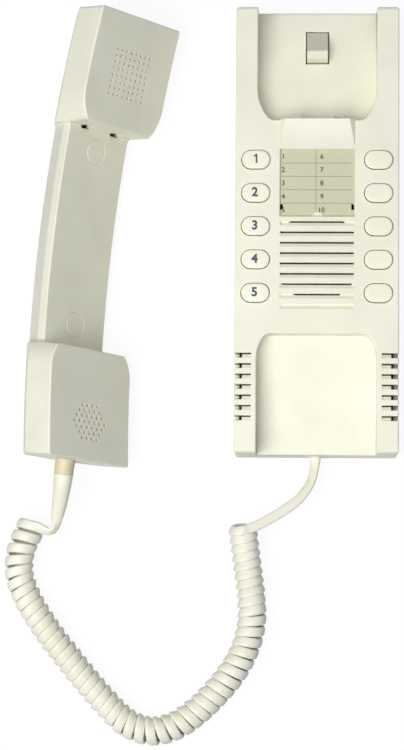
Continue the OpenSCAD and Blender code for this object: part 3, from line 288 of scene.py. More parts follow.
level = smooth(coil_route, axis_steps)
axis_len = distances(level)
lift = end_lift * np.clip(1 - axis_len / lift_len, 0, 1) ** 2
axis = np.column_stack([level, curl_d / 2 + cord_clear + lift])
heading = slopes(axis)
places, pitches = np.array(pitch_places).T / 1000
curl_rate = 1 / np.interp(axis_len, places, pitches)
turned = np.concatenate([[0], np.cumsum((curl_rate[1:] + curl_rate[:-1]) / 2 * np.diff(axis_len))])
turned *= curl_count / turned[-1]
turn = np.linspace(0, curl_count, curl_count * rings_per_curl + 1)


def at_turns(values):
    """What lies along the coil's axis, read off at each step of the curls."""
    return np.column_stack([np.interp(turn, turned, column) for column in values.T])


middle = at_turns(axis)
facing = unit(at_turns(heading))
aside = unit(np.cross((0, 0, 1), facing))
phase = math.pi / 2 + 2 * math.pi * turn[:, None]
curl_out = np.cos(phase) * aside + np.sin(phase) * np.cross(facing, aside)
# Where the curls lie closer than the cord is wide, each strand tilts and laps over the next
flat_ring = middle + (curl_d - band_t) / 2 * curl_out
ahead = np.linalg.norm(flat_ring[rings_per_curl:] - flat_ring[:-rings_per_curl], axis=1)
apart = np.minimum(np.pad(ahead, (0, rings_per_curl), "edge"), np.pad(ahead, (rings_per_curl, 0), "edge"))
flat_run = band_w - band_t
lean_cos = (apart ** 2 + flat_run ** 2 - (band_t + strand_gap) ** 2) / (2 * apart * flat_run)
lean = np.arccos(np.clip(lean_cos, most_lean_cos, 1))
half_turn = rings_per_curl // 2
evened = np.ones(half_turn + 1) / (half_turn + 1)
lean = np.convolve(np.pad(lean, half_turn // 2, "edge"), evened, "valid")[:, None]
# The turns nearest the base are pulled aslant by the tail, so their lower halves lie nearer the base
slant = turn_slant * np.clip(1 - np.interp(turn, turned, axis_len) / slant_len, 0, 1)[:, None]
curl_out = curl_out + slant * curl_out[:, 2:] * facing
curls = middle + (curl_d / 2 - flat_run / 2 * np.sin(lean) - band_t / 2) * curl_out
curl_normals = np.cos(lean) * curl_out - np.sin(lean) * facing
tail_places, tail_looks = zip(*tail_handset_route)
tail_base = smooth([gland_exit, *tail_base_route, curls[0], curls[2]], tail_steps)[:-tail_steps - 1]
tail_handset = smooth([curls[-3], curls[-1], *tail_places], tail_steps)[tail_steps + 1:]
tail_normals = smooth([curl_normals[-1], curl_normals[-1], *tail_looks], tail_steps)[tail_steps + 1:]
cord_path = np.vstack([tail_base, curls, tail_handset])
tail_part = np.linspace(0, 1, len(tail_base))
twist_in = np.clip(tail_part / twist_whole, 0, 1)
twist_out = np.clip((twist_gone - tail_part) / (twist_gone - twist_fades), 0, 1)
twist = math.radians(tail_twist_deg) * twist_in * twist_out
base_normals = np.column_stack([-np.sin(twist), 0 * twist, np.cos(twist)])
cord_normals = np.vstack([base_normals, curl_normals, tail_normals])
cord_skin = swept(cord_path, cord_normals, band_w / 2, band_t / 2, band_square, band_sides)
cord = new_piece("curly_cord", *cord_skin, cord_pvc)
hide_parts("cord_tail_base", "cord_coil", "cord_tail_handset")
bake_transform(cord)


# Back plate: an ivory ABS moulding that two screws hold to the wall. Its posts carry the board, its
# two pillars take the cover's screws, and four tongues at the ends keep the cover in line.
weld_gap = 2e-6
flat_deg = 0.3
eased_deg = 35


def dress(name, material, edge_mm, segments=2):
    """Gives a CAD solid its finish and eases its sharp edges."""
    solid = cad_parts[name]
    solid.data.materials.clear()
    solid.data.materials.append(material)
    solid.modifiers.new("joined_facets", "WELD").merge_threshold = weld_gap
    flats = solid.modifiers.new("joined_flats", "DECIMATE")
    flats.decimate_type = "DISSOLVE"
    flats.angle_limit = math.radians(flat_deg)
    easing = solid.modifiers.new("eased_edges", "BEVEL")
    easing.width = edge_mm / 1000
    easing.segments = segments
    easing.angle_limit = math.radians(eased_deg)
    easing.loop_slide = False
    solid.modifiers.new("even_shading", "WEIGHTED_NORMAL").keep_sharp = True
    return solid


# Plain ABS from a polished mould: satin, a shade deeper than the parts that show.
plate_abs = moulded("plain_ivory_abs", "#e6e1cc", "#ddd7bf", 0.42, 1.4, 0.01)
dress("back_plate", plate_abs, 0.3)

# Circuit boards: glass-epoxy boards with copper tracks under green solder mask, cut with a router.
# The main one lies on the plate's posts, and the two key boards hang behind the buttons.
track_pitch_mm = 2.54
track_run_mm = 9
track_w_mm = 0.45
track_rise_mm = 0.04


def solder_mask(name):
    """Solder mask: glossy green, lighter where a copper track lies under it."""
    material = empty_material(name)
    tree = material.node_tree
    place = add_node(tree, "ShaderNodeTexCoord").outputs["Object"]
    tracks = add_node(tree, "ShaderNodeTexBrick", {
        "Vector": place, "Scale": 1000, "Color1": linear("#24573a"), "Color2": linear("#285f3f"),
        "Mortar": linear("#4c8c5e"), "Mortar Size": track_w_mm / 2, "Brick Width": track_run_mm,
        "Row Height": track_pitch_mm})
    height = add_node(tree, "ShaderNodeBump", {
        "Height": tracks.outputs["Fac"], "Strength": 0.6, "Distance": track_rise_mm / 1000})
    body = add_node(tree, "ShaderNodeBsdfPrincipled", {
        "Base Color": tracks.outputs["Color"], "Roughness": 0.3, "IOR": 1.55,
        "Normal": height.outputs["Normal"]})
    add_node(tree, "ShaderNodeOutputMaterial", {"Surface": body.outputs["BSDF"]})
    return material


board_green = solder_mask("green_solder_mask")
for name in ("main_board", "key_board_left", "key_board_right"):
    dress(name, board_green, 0.15)

# Small steel pieces: screws, hook pin, handset ballast and loudspeaker basket. They are turned,
# rolled or pressed, then plated with zinc.
zinc_mm = 0.8
shine_play = 0.1


def plated(name, tint, dull_tint, roughness, spangle_mm):
    """A plated or drawn metal: small patches differ in tone and gloss."""
    material = empty_material(name)
    tree = material.node_tree
    place = add_node(tree, "ShaderNodeTexCoord").outputs["Object"]
    patches = add_node(tree, "ShaderNodeTexNoise", {
        "Vector": place, "Scale": 1000 / spangle_mm, "Detail": 4})
    colour = add_node(tree, "ShaderNodeValToRGB", {"Fac": patches.outputs["Fac"]})
    colour.color_ramp.elements[0].color = linear(dull_tint)
    colour.color_ramp.elements[1].color = linear(tint)
    gloss = add_node(tree, "ShaderNodeMapRange", {
        "Value": patches.outputs["Fac"], "To Min": roughness + shine_play, "To Max": roughness - shine_play})
    body = add_node(tree, "ShaderNodeBsdfPrincipled", {
        "Base Color": colour.outputs["Color"], "Metallic": 1, "Roughness": gloss.outputs["Result"]})
    add_node(tree, "ShaderNodeOutputMaterial", {"Surface": body.outputs["BSDF"]})
    return material


# Zinc plate: a bluish grey shine, dulled in small patches.
zinc = plated("zinc_plated_steel", "#d3d6da", "#a3a7ac", 0.34, zinc_mm)
for name in ("cover_screws", "board_screws", "terminal_screws", "key_board_screws", "speaker_screws",
             "hook_pin", "handset_weight", "handset_screws", "speaker_frame"):
    dress(name, zinc, 0.12)

# Pieces on the main board: terminal block, capacitors, audio chips, hook switch and bracket. They
# are moulded in black plastic, and so is the receiver capsule in the handset.
# Glass-filled PBT: nearly black, with the dull grain of a spark-worn mould.
black_pbt = moulded("moulded_black_pbt", "#2a2a2d", "#202022", 0.5, 0.6, 0.02, 1.57, 6)
for name in ("terminal_block", "capacitors", "audio_chips", "hook_switch", "hook_bracket",
             "receiver_capsule"):
    dress(name, black_pbt, 0.2)
# Nylon socket that the cord's plug pushes into: milky and slightly waxy.
nylon = moulded("moulded_white_nylon", "#eceae0", "#e2dfd2", 0.45, 1.2, 0.01, 1.53, 8)
dress("cord_socket", nylon, 0.4)
# Sintered ferrite of the transformer and loudspeaker magnet: charcoal, matt, with a fine pressed grit.
ferrite = moulded("sintered_ferrite", "#3b3b3e", "#2c2c2f", 0.62, 0.4, 0.03, 1.9, 3)
for name in ("transformer", "speaker_magnet"):
    dress(name, ferrite, 0.4)

# Microphone holder: a cup of compression-moulded silicone rubber, of the same kind as the keypad mats.
# Silicone: dark grey, matt and faintly dusty.
silicone = moulded("moulded_grey_silicone", "#47484a", "#3b3c3e", 0.68, 0.7, 0.02, 1.41, 5)
dress("microphone_holder", silicone, 0.2)

# Loudspeaker: a pressed basket with a ferrite magnet, a paper cone and a foam gasket that seals it
# to the cover behind the grille. The handset's receiver has a foam ring of the same kind.
# Closed-cell foam: black, dead matt, pitted by cut cells.
foam = moulded("cut_black_foam", "#232325", "#17171a", 0.85, 0.5, 0.12, 1.4, 2)
for name in ("speaker_gasket", "receiver_gasket"):
    dress(name, foam, 0.1)
# Pressed paper: dark grey pulp with a soft fibre grain.
cone_paper = moulded("pressed_pulp_paper", "#333230", "#282725", 0.8, 0.35, 0.04, 1.45, 2)
dress("speaker_cone", cone_paper, 0.05)

# Hook lever: the cradle's switch hook, an ivory moulding that swings on a steel pin. Its ridge
# stands up through the ear recess, where the handset's head presses it down.
# Fine-textured ABS, yellowed a little by age: satin, with a faint grain.
ivory_abs = moulded("moulded_ivory_abs", "#f3f2dd", "#edecd6", 0.4, 1.1, 0.006)
# The lever's ABS is painted a shade deeper than the cover's: painted shade that dims its lower face,
# which the lamps light too brightly. The handset has rubbed it a little glossier.
hook_shade_abs = moulded("ivory_abs_painted_shade", "#e0dfc6", "#d9d7bc", 0.36, 1.1, 0.006)
dress("hook_lever", hook_shade_abs, 0.45, 3)


# Front cover: one large ivory ABS moulding, textured outside. Two screws under the directory card
# hold it on the back plate's pillars.
crease_deg = 22


def rounded_copy(name, source, material, width_of, recut=None):
    """A copy of a CAD solid with rounded edges: width_of gives an edge's width in mm, or nought.
    Recut may change the copy's shape first."""
    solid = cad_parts[source]
    work = bmesh.new()
    work.from_mesh(solid.data)
    work.transform(solid.matrix_world)
    bmesh.ops.remove_doubles(work, verts=work.verts, dist=weld_gap)
    if recut:
        recut(work)
    bmesh.ops.dissolve_limit(work, angle_limit=math.radians(flat_deg), verts=work.verts, edges=work.edges)
    work.normal_update()
    weight = work.edges.layers.float.new("bevel_weight_edge")
    widths = {}
    for edge in work.edges:
        if len(edge.link_faces) == 2 and math.degrees(edge.calc_face_angle(0)) > crease_deg:
            first, second = (face.normal for face in edge.link_faces)
            place = (edge.verts[0].co + edge.verts[1].co) / 2 * 1000
            widths[edge] = width_of(place, first, second, edge.is_convex)
    widest = max(widths.values())
    for edge, width in widths.items():
        edge[weight] = width / widest
        edge.smooth = width > 0
    for face in work.faces:
        face.smooth = True
    mesh = bpy.data.meshes.new(name)
    work.to_mesh(mesh)
    work.free()
    mesh.materials.append(material)
    piece = bpy.data.objects.new(name, mesh)
    bpy.context.scene.collection.objects.link(piece)
    rounding = piece.modifiers.new("rounded_edges", "BEVEL")
    rounding.limit_method = "WEIGHT"
    rounding.width = widest / 1000
    rounding.segments = 3
    rounding.use_clamp_overlap = False
    rounding.loop_slide = False
    piece.modifiers.new("even_shading", "WEIGHTED_NORMAL").keep_sharp = True
    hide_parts(source)
    return piece


half_base_w, half_base_l, end_round_r, plate_t = 40, 110, 2, 2.4
recess_x = 29.2
button_x, button_rows = 30, (33.7, 17.3, 0.9, -15.5, -31.9)
near = 0.1
# How far a normal leans before its face counts as looking down, up or aside
looks_down, looks_up, looks_aside = -0.3, 0.5, 0.9
# Where the cover's features lie, in mm: half widths, and spans along the base or above the wall
lip_in, corner_in = 4, 1.8
joint_x, front_z = 37, 30
floor_z = (17, 28.5)
vents_x, vents_y = 31, (-95, -59)
hook_x, hook_y = 6.5, (80, 101)
grille_x, grille_y = 18.2, (-41, 4.5)
label_x, label_y, label_top = 18.7, (5, 39.3), 38.5
keyhole_x, keyhole_y = 7.6, 5.2
ramp_y = (39.3, 53.9)
tab_x, tab_z = 13, 34
# How wide their edges are rounded, in mm
lip_edge, vent_edge, floor_edge, hook_edge, end_edge, joint_edge = 0.25, 0.2, 0.6, 0.3, 1.5, 0.2
outer_edge, grille_edge, label_edge, keyhole_edge, tab_edge, front_edge = 0.7, 0.15, 0.15, 0.3, 0.2, 0.8


def within(value, span):
    """Whether a value lies inside a span."""
    return span[0] < value < span[1]


def cover_width(place, first, second, convex):
    """How wide each edge of the cover is rounded, in mm."""
    x, y, z = abs(place.x), place.y, place.z
    at_end = abs(y) > half_base_l - near
    by_end = abs(y) > half_base_l - end_round_r - near
    outside = x > half_base_w - near
    in_vents = within(y, vents_y)
    if min(first.z, second.z) < looks_down:
        at_lip = z < plate_t + near and (x > half_base_w - lip_in or at_end)
        return lip_edge if at_lip else 0
    if max(first.z, second.z) < looks_up and not by_end:
        sideways = max(abs(first.x), abs(second.x)) > looks_aside
        return vent_edge if outside and sideways and in_vents and convex else 0
    if not convex:
        return floor_edge if within(z, floor_z) else 0
    if z < front_z:
        if x < hook_x and within(y, hook_y):
            return hook_edge
        if at_end and x < recess_x:
            return end_edge
        return joint_edge if x > joint_x else 0
    if outside or (by_end and x > half_base_w - corner_in):
        return outer_edge
    if in_vents and x > vents_x:
        return vent_edge
    if x < grille_x and within(y, grille_y):
        return grille_edge
    if x < label_x and within(y, label_y):
        return label_edge if y < label_top else 0
    if any(abs(y - row) < keyhole_y for row in button_rows) and abs(x - button_x) < keyhole_x:
        return keyhole_edge
    if x < label_x and within(y, ramp_y):
        return 0
    if y > ramp_y[1] and x < tab_x and z > tab_z:
        return tab_edge
    return front_edge


cover = rounded_copy("ivory_cover", "front_cover", ivory_abs, cover_width)
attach(cover, "base")

# Cord gland: a soft PVC bush in the cover's lower end wall, pressed in from inside until its
# flange stops it. The cord runs through it.
turn_sides = 40


def turned_piece(name, profile, origin, axis_matrix, material):
    """A solid turned from a profile of radius and height in mm, both ends closed."""
    angle = np.arange(turn_sides) / turn_sides * 2 * math.pi
    rings = [[(r * math.cos(a) / 1000, r * math.sin(a) / 1000, h / 1000) for a in angle] for r, h in profile]
    points = [tuple(Vector(origin) + axis_matrix @ Vector(p)) for ring in rings for p in ring]
    return new_piece(name, points, ring_faces(len(profile), turn_sides), material)


out_of_end = Matrix.Rotation(math.radians(90), 3, "X")
gland_profile = [(4.7, -4.4), (5, -4.2), (5, -2.5), (3.98, -2.4), (3.98, -0.1), (3.9, 0.15), (3.7, 0.3),
                 (3.2, 0.35)]
gland_place = (0, -half_base_l / 1000, gland_exit[2])
gland = turned_piece("cord_bush", gland_profile, gland_place, out_of_end, cord_pvc)
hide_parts("cord_gland")
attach(gland, "base")

# Lead-in: the cord's last stretch inside the base, from the bush to the socket on the board.
# It is the same flat PVC cord, laid with its flat side up, and its end is plugged into the socket.
lead_route = [(0, -0.1052, 0.009), (0, -0.097, 0.009), (0, -0.083, 0.0112), (0, -0.069, 0.0136),
              (0, -0.0608, 0.0136)]


def upward(path):
    """The way straight up, at each point of a path."""
    return np.tile([0.0, 0, 1], (len(path), 1))


lead_path = smooth(lead_route, tail_steps)
lead_skin = swept(lead_path, upward(lead_path), band_w / 2, band_t / 2, band_square, band_sides)
lead = new_piece("cord_inside_base", *lead_skin, cord_pvc)
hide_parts("cord_lead_in")
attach(lead, "base")

# Hook spring: a cone of steel wire under the lever's arm, which lifts it again. It is built at rest
# here; on the real hook its turns lie inside one another when the lever presses it flat.
spring_y, spring_low, spring_top = 0.077, 0.0097, 0.0135
spring_wide, spring_narrow, wire_r = 0.0022, 0.0009, 0.0002
spring_turns, spring_steps = 2.5, 120
round_section, wire_sides = 2, 8
spring_turn = np.linspace(0, 1, spring_steps)
spring_angle = spring_turn * spring_turns * 2 * math.pi
spring_r = spring_wide + (spring_narrow - spring_wide) * spring_turn
spring_path = np.column_stack([spring_r * np.cos(spring_angle), spring_y + spring_r * np.sin(spring_angle),
                               spring_low + wire_r + (spring_top - spring_low - 2 * wire_r) * spring_turn])
spring_skin = swept(spring_path, upward(spring_path), wire_r, wire_r, round_section, wire_sides)
spring = new_piece("hook_spring_coil", *spring_skin, zinc)
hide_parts("hook_spring")
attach(spring, "base")
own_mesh(spring)

# Call buttons: ten off-white ABS caps, each with a flange that the cover holds and a stem down to
# the mat. The left column carries plain printed numbers and the right column is blank.
button_w, button_h = 13.7, 9.1
button_top = 37.2
flange_top, flange_t, flange_lap, flange_reach = 33.5, 1.2, 1.3, 7.4
stem_r, dome_top = 2.5, 27.4
flange_low = flange_top - flange_t
cap_round, cap_steps = 0.7, 6
cap_crown, crown_steps, crown_run = 0.12, 4, 0.8
flange_ease, stem_ease = 0.15, 0.3
arc_steps = 16
digit_h, digit_up, digit_left, digit_spread, digit_lift = 4.6, 0.35, 0.4, 0.035, 0.015


def stadium(half_w, half_h):
    """The outline of a bar with round ends, anticlockwise, in mm."""
    bend = np.linspace(-math.pi / 2, math.pi / 2, arc_steps)
    right = np.column_stack([half_w - half_h + half_h * np.cos(bend), half_h * np.sin(bend)])
    return np.vstack([right, -right])


def stacked(rings):
    """Points and faces of a closed skin through rings."""
    return np.vstack(rings), ring_faces(len(rings), len(rings[0]))


def cap_ring(inset, z):
    """One level of a button's cap."""
    outline = stadium(button_w / 2 - inset, button_h / 2 - inset)
    return np.column_stack([outline, np.full(len(outline), z)])


def flange_ring(z, inset):
    """One level of a button's flange, trimmed beside the cover's wall."""
    outline = stadium(button_w / 2 + flange_lap - inset, button_h / 2 + flange_lap - inset)
    outline[:, 0] = np.clip(outline[:, 0], inset - flange_reach, flange_reach - inset)
    return np.column_stack([outline, np.full(len(outline), z)])


def stem_ring(z, r):
    """One level of a button's stem."""
    angle = np.arange(2 * arc_steps) / (2 * arc_steps) * 2 * math.pi
    return np.column_stack([r * np.cos(angle), r * np.sin(angle), np.full(len(angle), z)])


def printed_text(text, x, y, height, spread):
    """Vertices and faces of a number printed flat at z nought, all in mm."""
    curve = bpy.data.curves.new("print", "FONT")
    curve.body = text
    curve.align_x = "CENTER"
    curve.align_y = "CENTER"
    curve.offset = spread
    holder = bpy.data.objects.new("print", curve)
    bpy.context.scene.collection.objects.link(holder)
    flat = bpy.data.meshes.new_from_object(holder.evaluated_get(bpy.context.evaluated_depsgraph_get()))
    points = np.array([v.co[:2] for v in flat.vertices])
    faces = [tuple(p.vertices) for p in flat.polygons]
    bpy.data.objects.remove(holder)
    bpy.data.curves.remove(curve)
    low, high = points.min(axis=0), points.max(axis=0)
    points = (points - (low + high) / 2) * height / (high - low)[1] + (x, y)
    return points, faces


def print_piece(name, marks, z, material):
    """One flat piece from several printed marks, at a height in mm."""
    points, faces = [], []
    for mark_points, mark_faces in marks:
        faces += [tuple(len(points) + k for k in face) for face in mark_faces]
        points += [(x / 1000, y / 1000, z / 1000) for x, y in mark_points]
    return new_piece(name, points, faces, material)


def printed_one(x, y, height):
    """A plain numeral one with a flag, printed flat at z nought, in mm."""
    outline = [(0.06, -0.5), (0.06, 0.28), (-0.14, 0.12), (-0.14, 0.3), (0.08, 0.5), (0.24, 0.5),
               (0.24, -0.5)]
    return np.array(outline[::-1]) * height + (x, y), [tuple(range(len(outline)))]


# Smooth ABS, lighter than the cover; and pad-printed ink, slate with a matt film.
button_abs = moulded("smooth_white_abs", "#f9f8e2", "#f4f3dc", 0.34, 1.3, 0.004)
slate_ink = moulded("slate_printing_ink", "#35525e", "#2b4652", 0.6, 0.5, 0.002, 1.5, 2)
cap_levels = [(0, flange_top)]
for a in np.linspace(0, math.pi / 2, cap_steps):
    cap_levels.append((cap_round * (1 - math.cos(a)), button_top - cap_round * (1 - math.sin(a))))
for step in range(1, crown_steps + 1):
    rise = 1 - (1 - step / crown_steps) ** 2
    cap_levels.append((cap_round + step * crown_run, button_top + cap_crown * rise))
cap_rings = [cap_ring(inset, z) for inset, z in cap_levels]
flange_rings = [flange_ring(flange_low, flange_ease), flange_ring(flange_low + flange_ease, 0),
                flange_ring(flange_top - flange_ease, 0), flange_ring(flange_top, flange_ease)]
stem_rings = [stem_ring(dome_top, stem_r - stem_ease), stem_ring(dome_top + stem_ease, stem_r),
              stem_ring(flange_low, stem_r)]
for number in range(1, 2 * len(button_rows) + 1):
    column, row = divmod(number - 1, len(button_rows))
    points, faces = [], []
    for rings in (cap_rings, flange_rings, stem_rings):
        skin_points, skin_faces = stacked(rings)
        faces += [tuple(len(points) + k for k in face) for face in skin_faces]
        points += list((skin_points + ((2 * column - 1) * button_x, button_rows[row], 0)) / 1000)
    button = new_piece(f"call_button_{number}", points, faces, button_abs)
    button.modifiers.new("even_shading", "WEIGHTED_NORMAL").keep_sharp = True
    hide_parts(f"button_{number}")
    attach(button, f"button_{number}")
    if column == 0:
        middle_x, middle_y = -button_x - digit_left, button_rows[row] + digit_up
        if number == 1:
            mark = printed_one(middle_x, middle_y, digit_h)
        else:
            mark = printed_text(str(number), middle_x, middle_y, digit_h, digit_spread)
        digit_z = button_top + cap_crown + digit_lift
        digit = print_piece(f"button_number_{number}", [mark], digit_z, slate_ink)
        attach(digit, f"button_{number}")

# Keypad mats: two silicone sheets behind the buttons, clamped between the key boards and the cover,
# with a dome under each stem, built here at rest. On the real pad a dome folds as its button goes
# down and pushes it back.
mat_low, mat_top = 24.6, 25.4
mat_half_w, mat_half_h, mat_corner, mat_edge = 6.2, 38.8, 1, 0.15
dome_bend = 0.4
dome_profile = [(4, mat_top), (3.8, mat_top + dome_bend), (2.8, dome_top - dome_bend), (stem_r, dome_top)]
mat_y = button_rows[len(button_rows) // 2]


def mat_ring(inset, z):
    """One level of a mat's sheet, with its corners cut."""
    w, h = mat_half_w - inset, mat_half_h - inset
    c = mat_corner
    outline = [(w, c - h), (w, h - c), (w - c, h), (c - w, h), (-w, h - c), (-w, c - h), (c - w, -h),
               (w - c, -h)]
    return np.column_stack([outline, np.full(len(outline), z)])


for column, mat in enumerate(("keypad_mat_left", "keypad_mat_right")):
    mat_x = (2 * column - 1) * button_x
    points, faces = stacked([mat_ring(mat_edge, mat_low), mat_ring(0, mat_low + mat_edge),
                             mat_ring(0, mat_top - mat_edge), mat_ring(mat_edge, mat_top)])
    sheet = new_piece(f"{mat}_sheet", (points + (mat_x, mat_y, 0)) / 1000, faces, silicone)
    sheet.modifiers.new("even_shading", "WEIGHTED_NORMAL")
    domes = []
    for row, dome_y in enumerate(button_rows):
        number = column * len(button_rows) + row + 1
        place = (mat_x / 1000, dome_y / 1000, 0)
        dome = turned_piece(f"keypad_dome_{number}", dome_profile, place, Matrix.Identity(3), silicone)
        domes.append((dome, f"button_{number}_press", (place[0], place[1], mat_top / 1000)))
    for piece in [sheet] + [dome for dome, joint, foot in domes]:
        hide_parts(mat)
        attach(piece, "base")
    for dome, joint, foot in domes:
        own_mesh(dome)

# Directory card: a die-cut buff card, ruled in brown and numbered for ten names, which lies in the
# cover's shallow recess.
card_w, card_h, card_y = 36.2, 33, 22.4
card_top = 34.6
card_rows = 5
rule_w, rule_x, rule_in, rule_stop, rule_lift = 0.3, -0.6, 1.2, 3, 0.02
number_h, number_spread, number_lift = 2.5, 0.02, 0.04
number_columns = (-16.6, 2.3)
fibre_mm, fibre_rise_mm, fibre_stretch = 0.5, 0.01, 4
fibre_low, fibre_high = 0.3, 0.7


def card_stock(name, tint, shade_tint):
    """Uncoated card: matt, with short fibres that lie mostly one way."""
    material = empty_material(name)
    tree = material.node_tree
    place = add_node(tree, "ShaderNodeTexCoord").outputs["Object"]
    drawn = add_node(tree, "ShaderNodeMapping", {"Vector": place, "Scale": (1 / fibre_stretch, 1, 1)})
    fibre = add_node(tree, "ShaderNodeTexNoise", {
        "Vector": drawn.outputs[0], "Scale": 1000 / fibre_mm, "Detail": 4})
    colour = add_node(tree, "ShaderNodeValToRGB", {"Fac": fibre.outputs["Fac"]})
    colour.color_ramp.elements[0].position = fibre_low
    colour.color_ramp.elements[0].color = linear(shade_tint)
    colour.color_ramp.elements[1].position = fibre_high
    colour.color_ramp.elements[1].color = linear(tint)
    relief = add_node(tree, "ShaderNodeBump", {
        "Height": fibre.outputs["Fac"], "Strength": 0.4, "Distance": fibre_rise_mm / 1000})
    body = add_node(tree, "ShaderNodeBsdfPrincipled", {
        "Base Color": colour.outputs["Color"], "Roughness": 0.85, "IOR": 1.45,
        "Normal": relief.outputs["Normal"]})
    add_node(tree, "ShaderNodeOutputMaterial", {"Surface": body.outputs["BSDF"]})
    return material


def ruled(x0, x1, y0, y1):
    """A straight printed rule."""
    return np.array([(x0, y0), (x1, y0), (x1, y1), (x0, y1)]), [(0, 1, 2, 3)]


# Uncoated buff card: matt, with fibres drawn coarser than they are, to show; and brown and grey litho
# inks soaked into it.
buff_card = card_stock("uncoated_buff_card", "#d9d7b9", "#d1ceae")
brown_ink = card_stock("brown_litho_ink", "#a09b7c", "#979171")
grey_ink = card_stock("dark_grey_litho_ink", "#45453f", "#3b3b36")
dress("directory_card", buff_card, 0.04)
row_h = card_h / card_rows
card_low = card_y - card_h / 2
rule_end = card_w / 2 - rule_in
rules = [ruled(-rule_end, rule_end, card_low + k * row_h - rule_w / 2, card_low + k * row_h + rule_w / 2)
         for k in range(1, card_rows)]
rules.append(ruled(rule_x - rule_w / 2, rule_x + rule_w / 2, card_low + rule_stop, card_low + card_h))
rules_piece = print_piece("directory_rules", rules, card_top + rule_lift, brown_ink)
numbers = []
for column, x in enumerate(number_columns):
    for k in range(card_rows):
        number_y = card_low + (card_rows - k - 0.5) * row_h
        numbers.append(printed_text(str(k + 1 + card_rows * column), x, number_y, number_h, number_spread))
numbers_piece = print_piece("directory_numbers", numbers, card_top + number_lift, grey_ink)
for piece in (rules_piece, numbers_piece):
    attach(piece, "base")

# Directory window: clear acrylic, laser-cut to the card's outline. It snaps into the recess over
# the card and lifts out with a blade at its side notches.
# Clear acrylic: nearly invisible, with a faint gloss and wiping scratches, drawn wide enough to show.
scratch_mm, scratch_stretch = 3, 20
window_clear, window_edge = 0.08, 0.1
acrylic = empty_material("clear_acrylic")
tree = acrylic.node_tree
place = add_node(tree, "ShaderNodeTexCoord").outputs["Object"]
drawn = add_node(tree, "ShaderNodeMapping", {"Vector": place, "Scale": (1, 1 / scratch_stretch, 1)})
scratches = add_node(tree, "ShaderNodeTexNoise", {
    "Vector": drawn.outputs[0], "Scale": 1000 / scratch_mm, "Detail": 6})
gloss = add_node(tree, "ShaderNodeMapRange", {
    "Value": scratches.outputs["Fac"], "To Min": 0.06, "To Max": 0.22})
body = add_node(tree, "ShaderNodeBsdfPrincipled", {
    "Base Color": linear("#e9eae0"), "Roughness": gloss.outputs["Result"], "IOR": 1.49, "Alpha": 0.03})
add_node(tree, "ShaderNodeOutputMaterial", {"Surface": body.outputs["BSDF"]})


def window_width(place, first, second, convex):
    """Every edge of the window is eased by the same little, in mm."""
    return window_edge


window = rounded_copy("clear_window_sheet", "directory_window", acrylic, window_width)
for corner in window.data.vertices:
    if corner.co.z * 1000 < card_top + near:
        corner.co.z += window_clear / 1000
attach(window, "window")

# Handset shells: two ivory ABS mouldings, clipped along a parting line and held by two screws under
# plugs in the grip. The face shell has the sound holes and the pockets for the cradle's tabs.
handset_place, handset_turn_deg, handset_roll_deg = (-127.8, -2, 11.299), -6.2, 50.4
handset_pose = (Matrix.Translation(handset_place) @ Matrix.Rotation(math.radians(handset_turn_deg), 4, "Z")
                @ Matrix.Rotation(math.radians(handset_roll_deg), 4, "Y"))
to_handset = handset_pose.inverted()
turned_back = to_handset.to_3x3()
arc_r = 680
head_h, grip_h, parting_h, crease_h = 29.6, 16.6, 13.6, 12
ear_inner, mouth_inner = 54.2, 55.2
ear_s, mouth_s, plug_s = 85, 86, 44.4
face_t = 2.2
handset_end = 110
# Sound holes: the solid's field, closed first, and the staggered rows that are drilled instead
mouth_field_r = 10.2
hole_r, rim_skip = 0.8, 4
hole_row, hole_step = 2.85, 3.5
hole_mid_s, hole_half_x, hole_half_s = -95.4, 12, 10.1
# How near a place lies to a level of the handset, in mm, and how far a normal leans
parting_near, head_near, grip_near, back_near, crease_near = 0.3, 0.4, 0.5, 0.4, 0.5
half_up, slight_up, upright_lean = 0.5, 0.15, 0.3
# Where the shells' features lie, in mm: across the handset, and along it or in from its end
head_corner_x, head_corner_in = 27, 1.5
inner_x, inner_reach = 20.5, 0.7
field_reach, plug_reach, grip_x = 13, 7, 20.3
pocket_x, pocket_reach = (7, 13.6), 3.2
back_end_in = 1.6
neck_x, neck_s = 14, (40, 76)
# How wide their edges are rounded, in mm
corner_edge, inner_edge, hole_edge, head_edge = 1.7, 0.6, 0.15, 0.9
plug_edge, pocket_edge, foot_edge, grip_edge = 0.5, 0.2, 0.6, 0.8
back_end_edge, side_edge, back_edge, crease_edge, neck_edge = 1.2, 0.6, 0.8, 0.6, 0.5


def on_handset(place):
    """A place as across, along and above the handset's back, in mm."""
    local = to_handset @ place
    along = arc_r * math.atan2(local.y, arc_r - local.z)
    return abs(local.x), along, arc_r - math.hypot(local.y, arc_r - local.z)


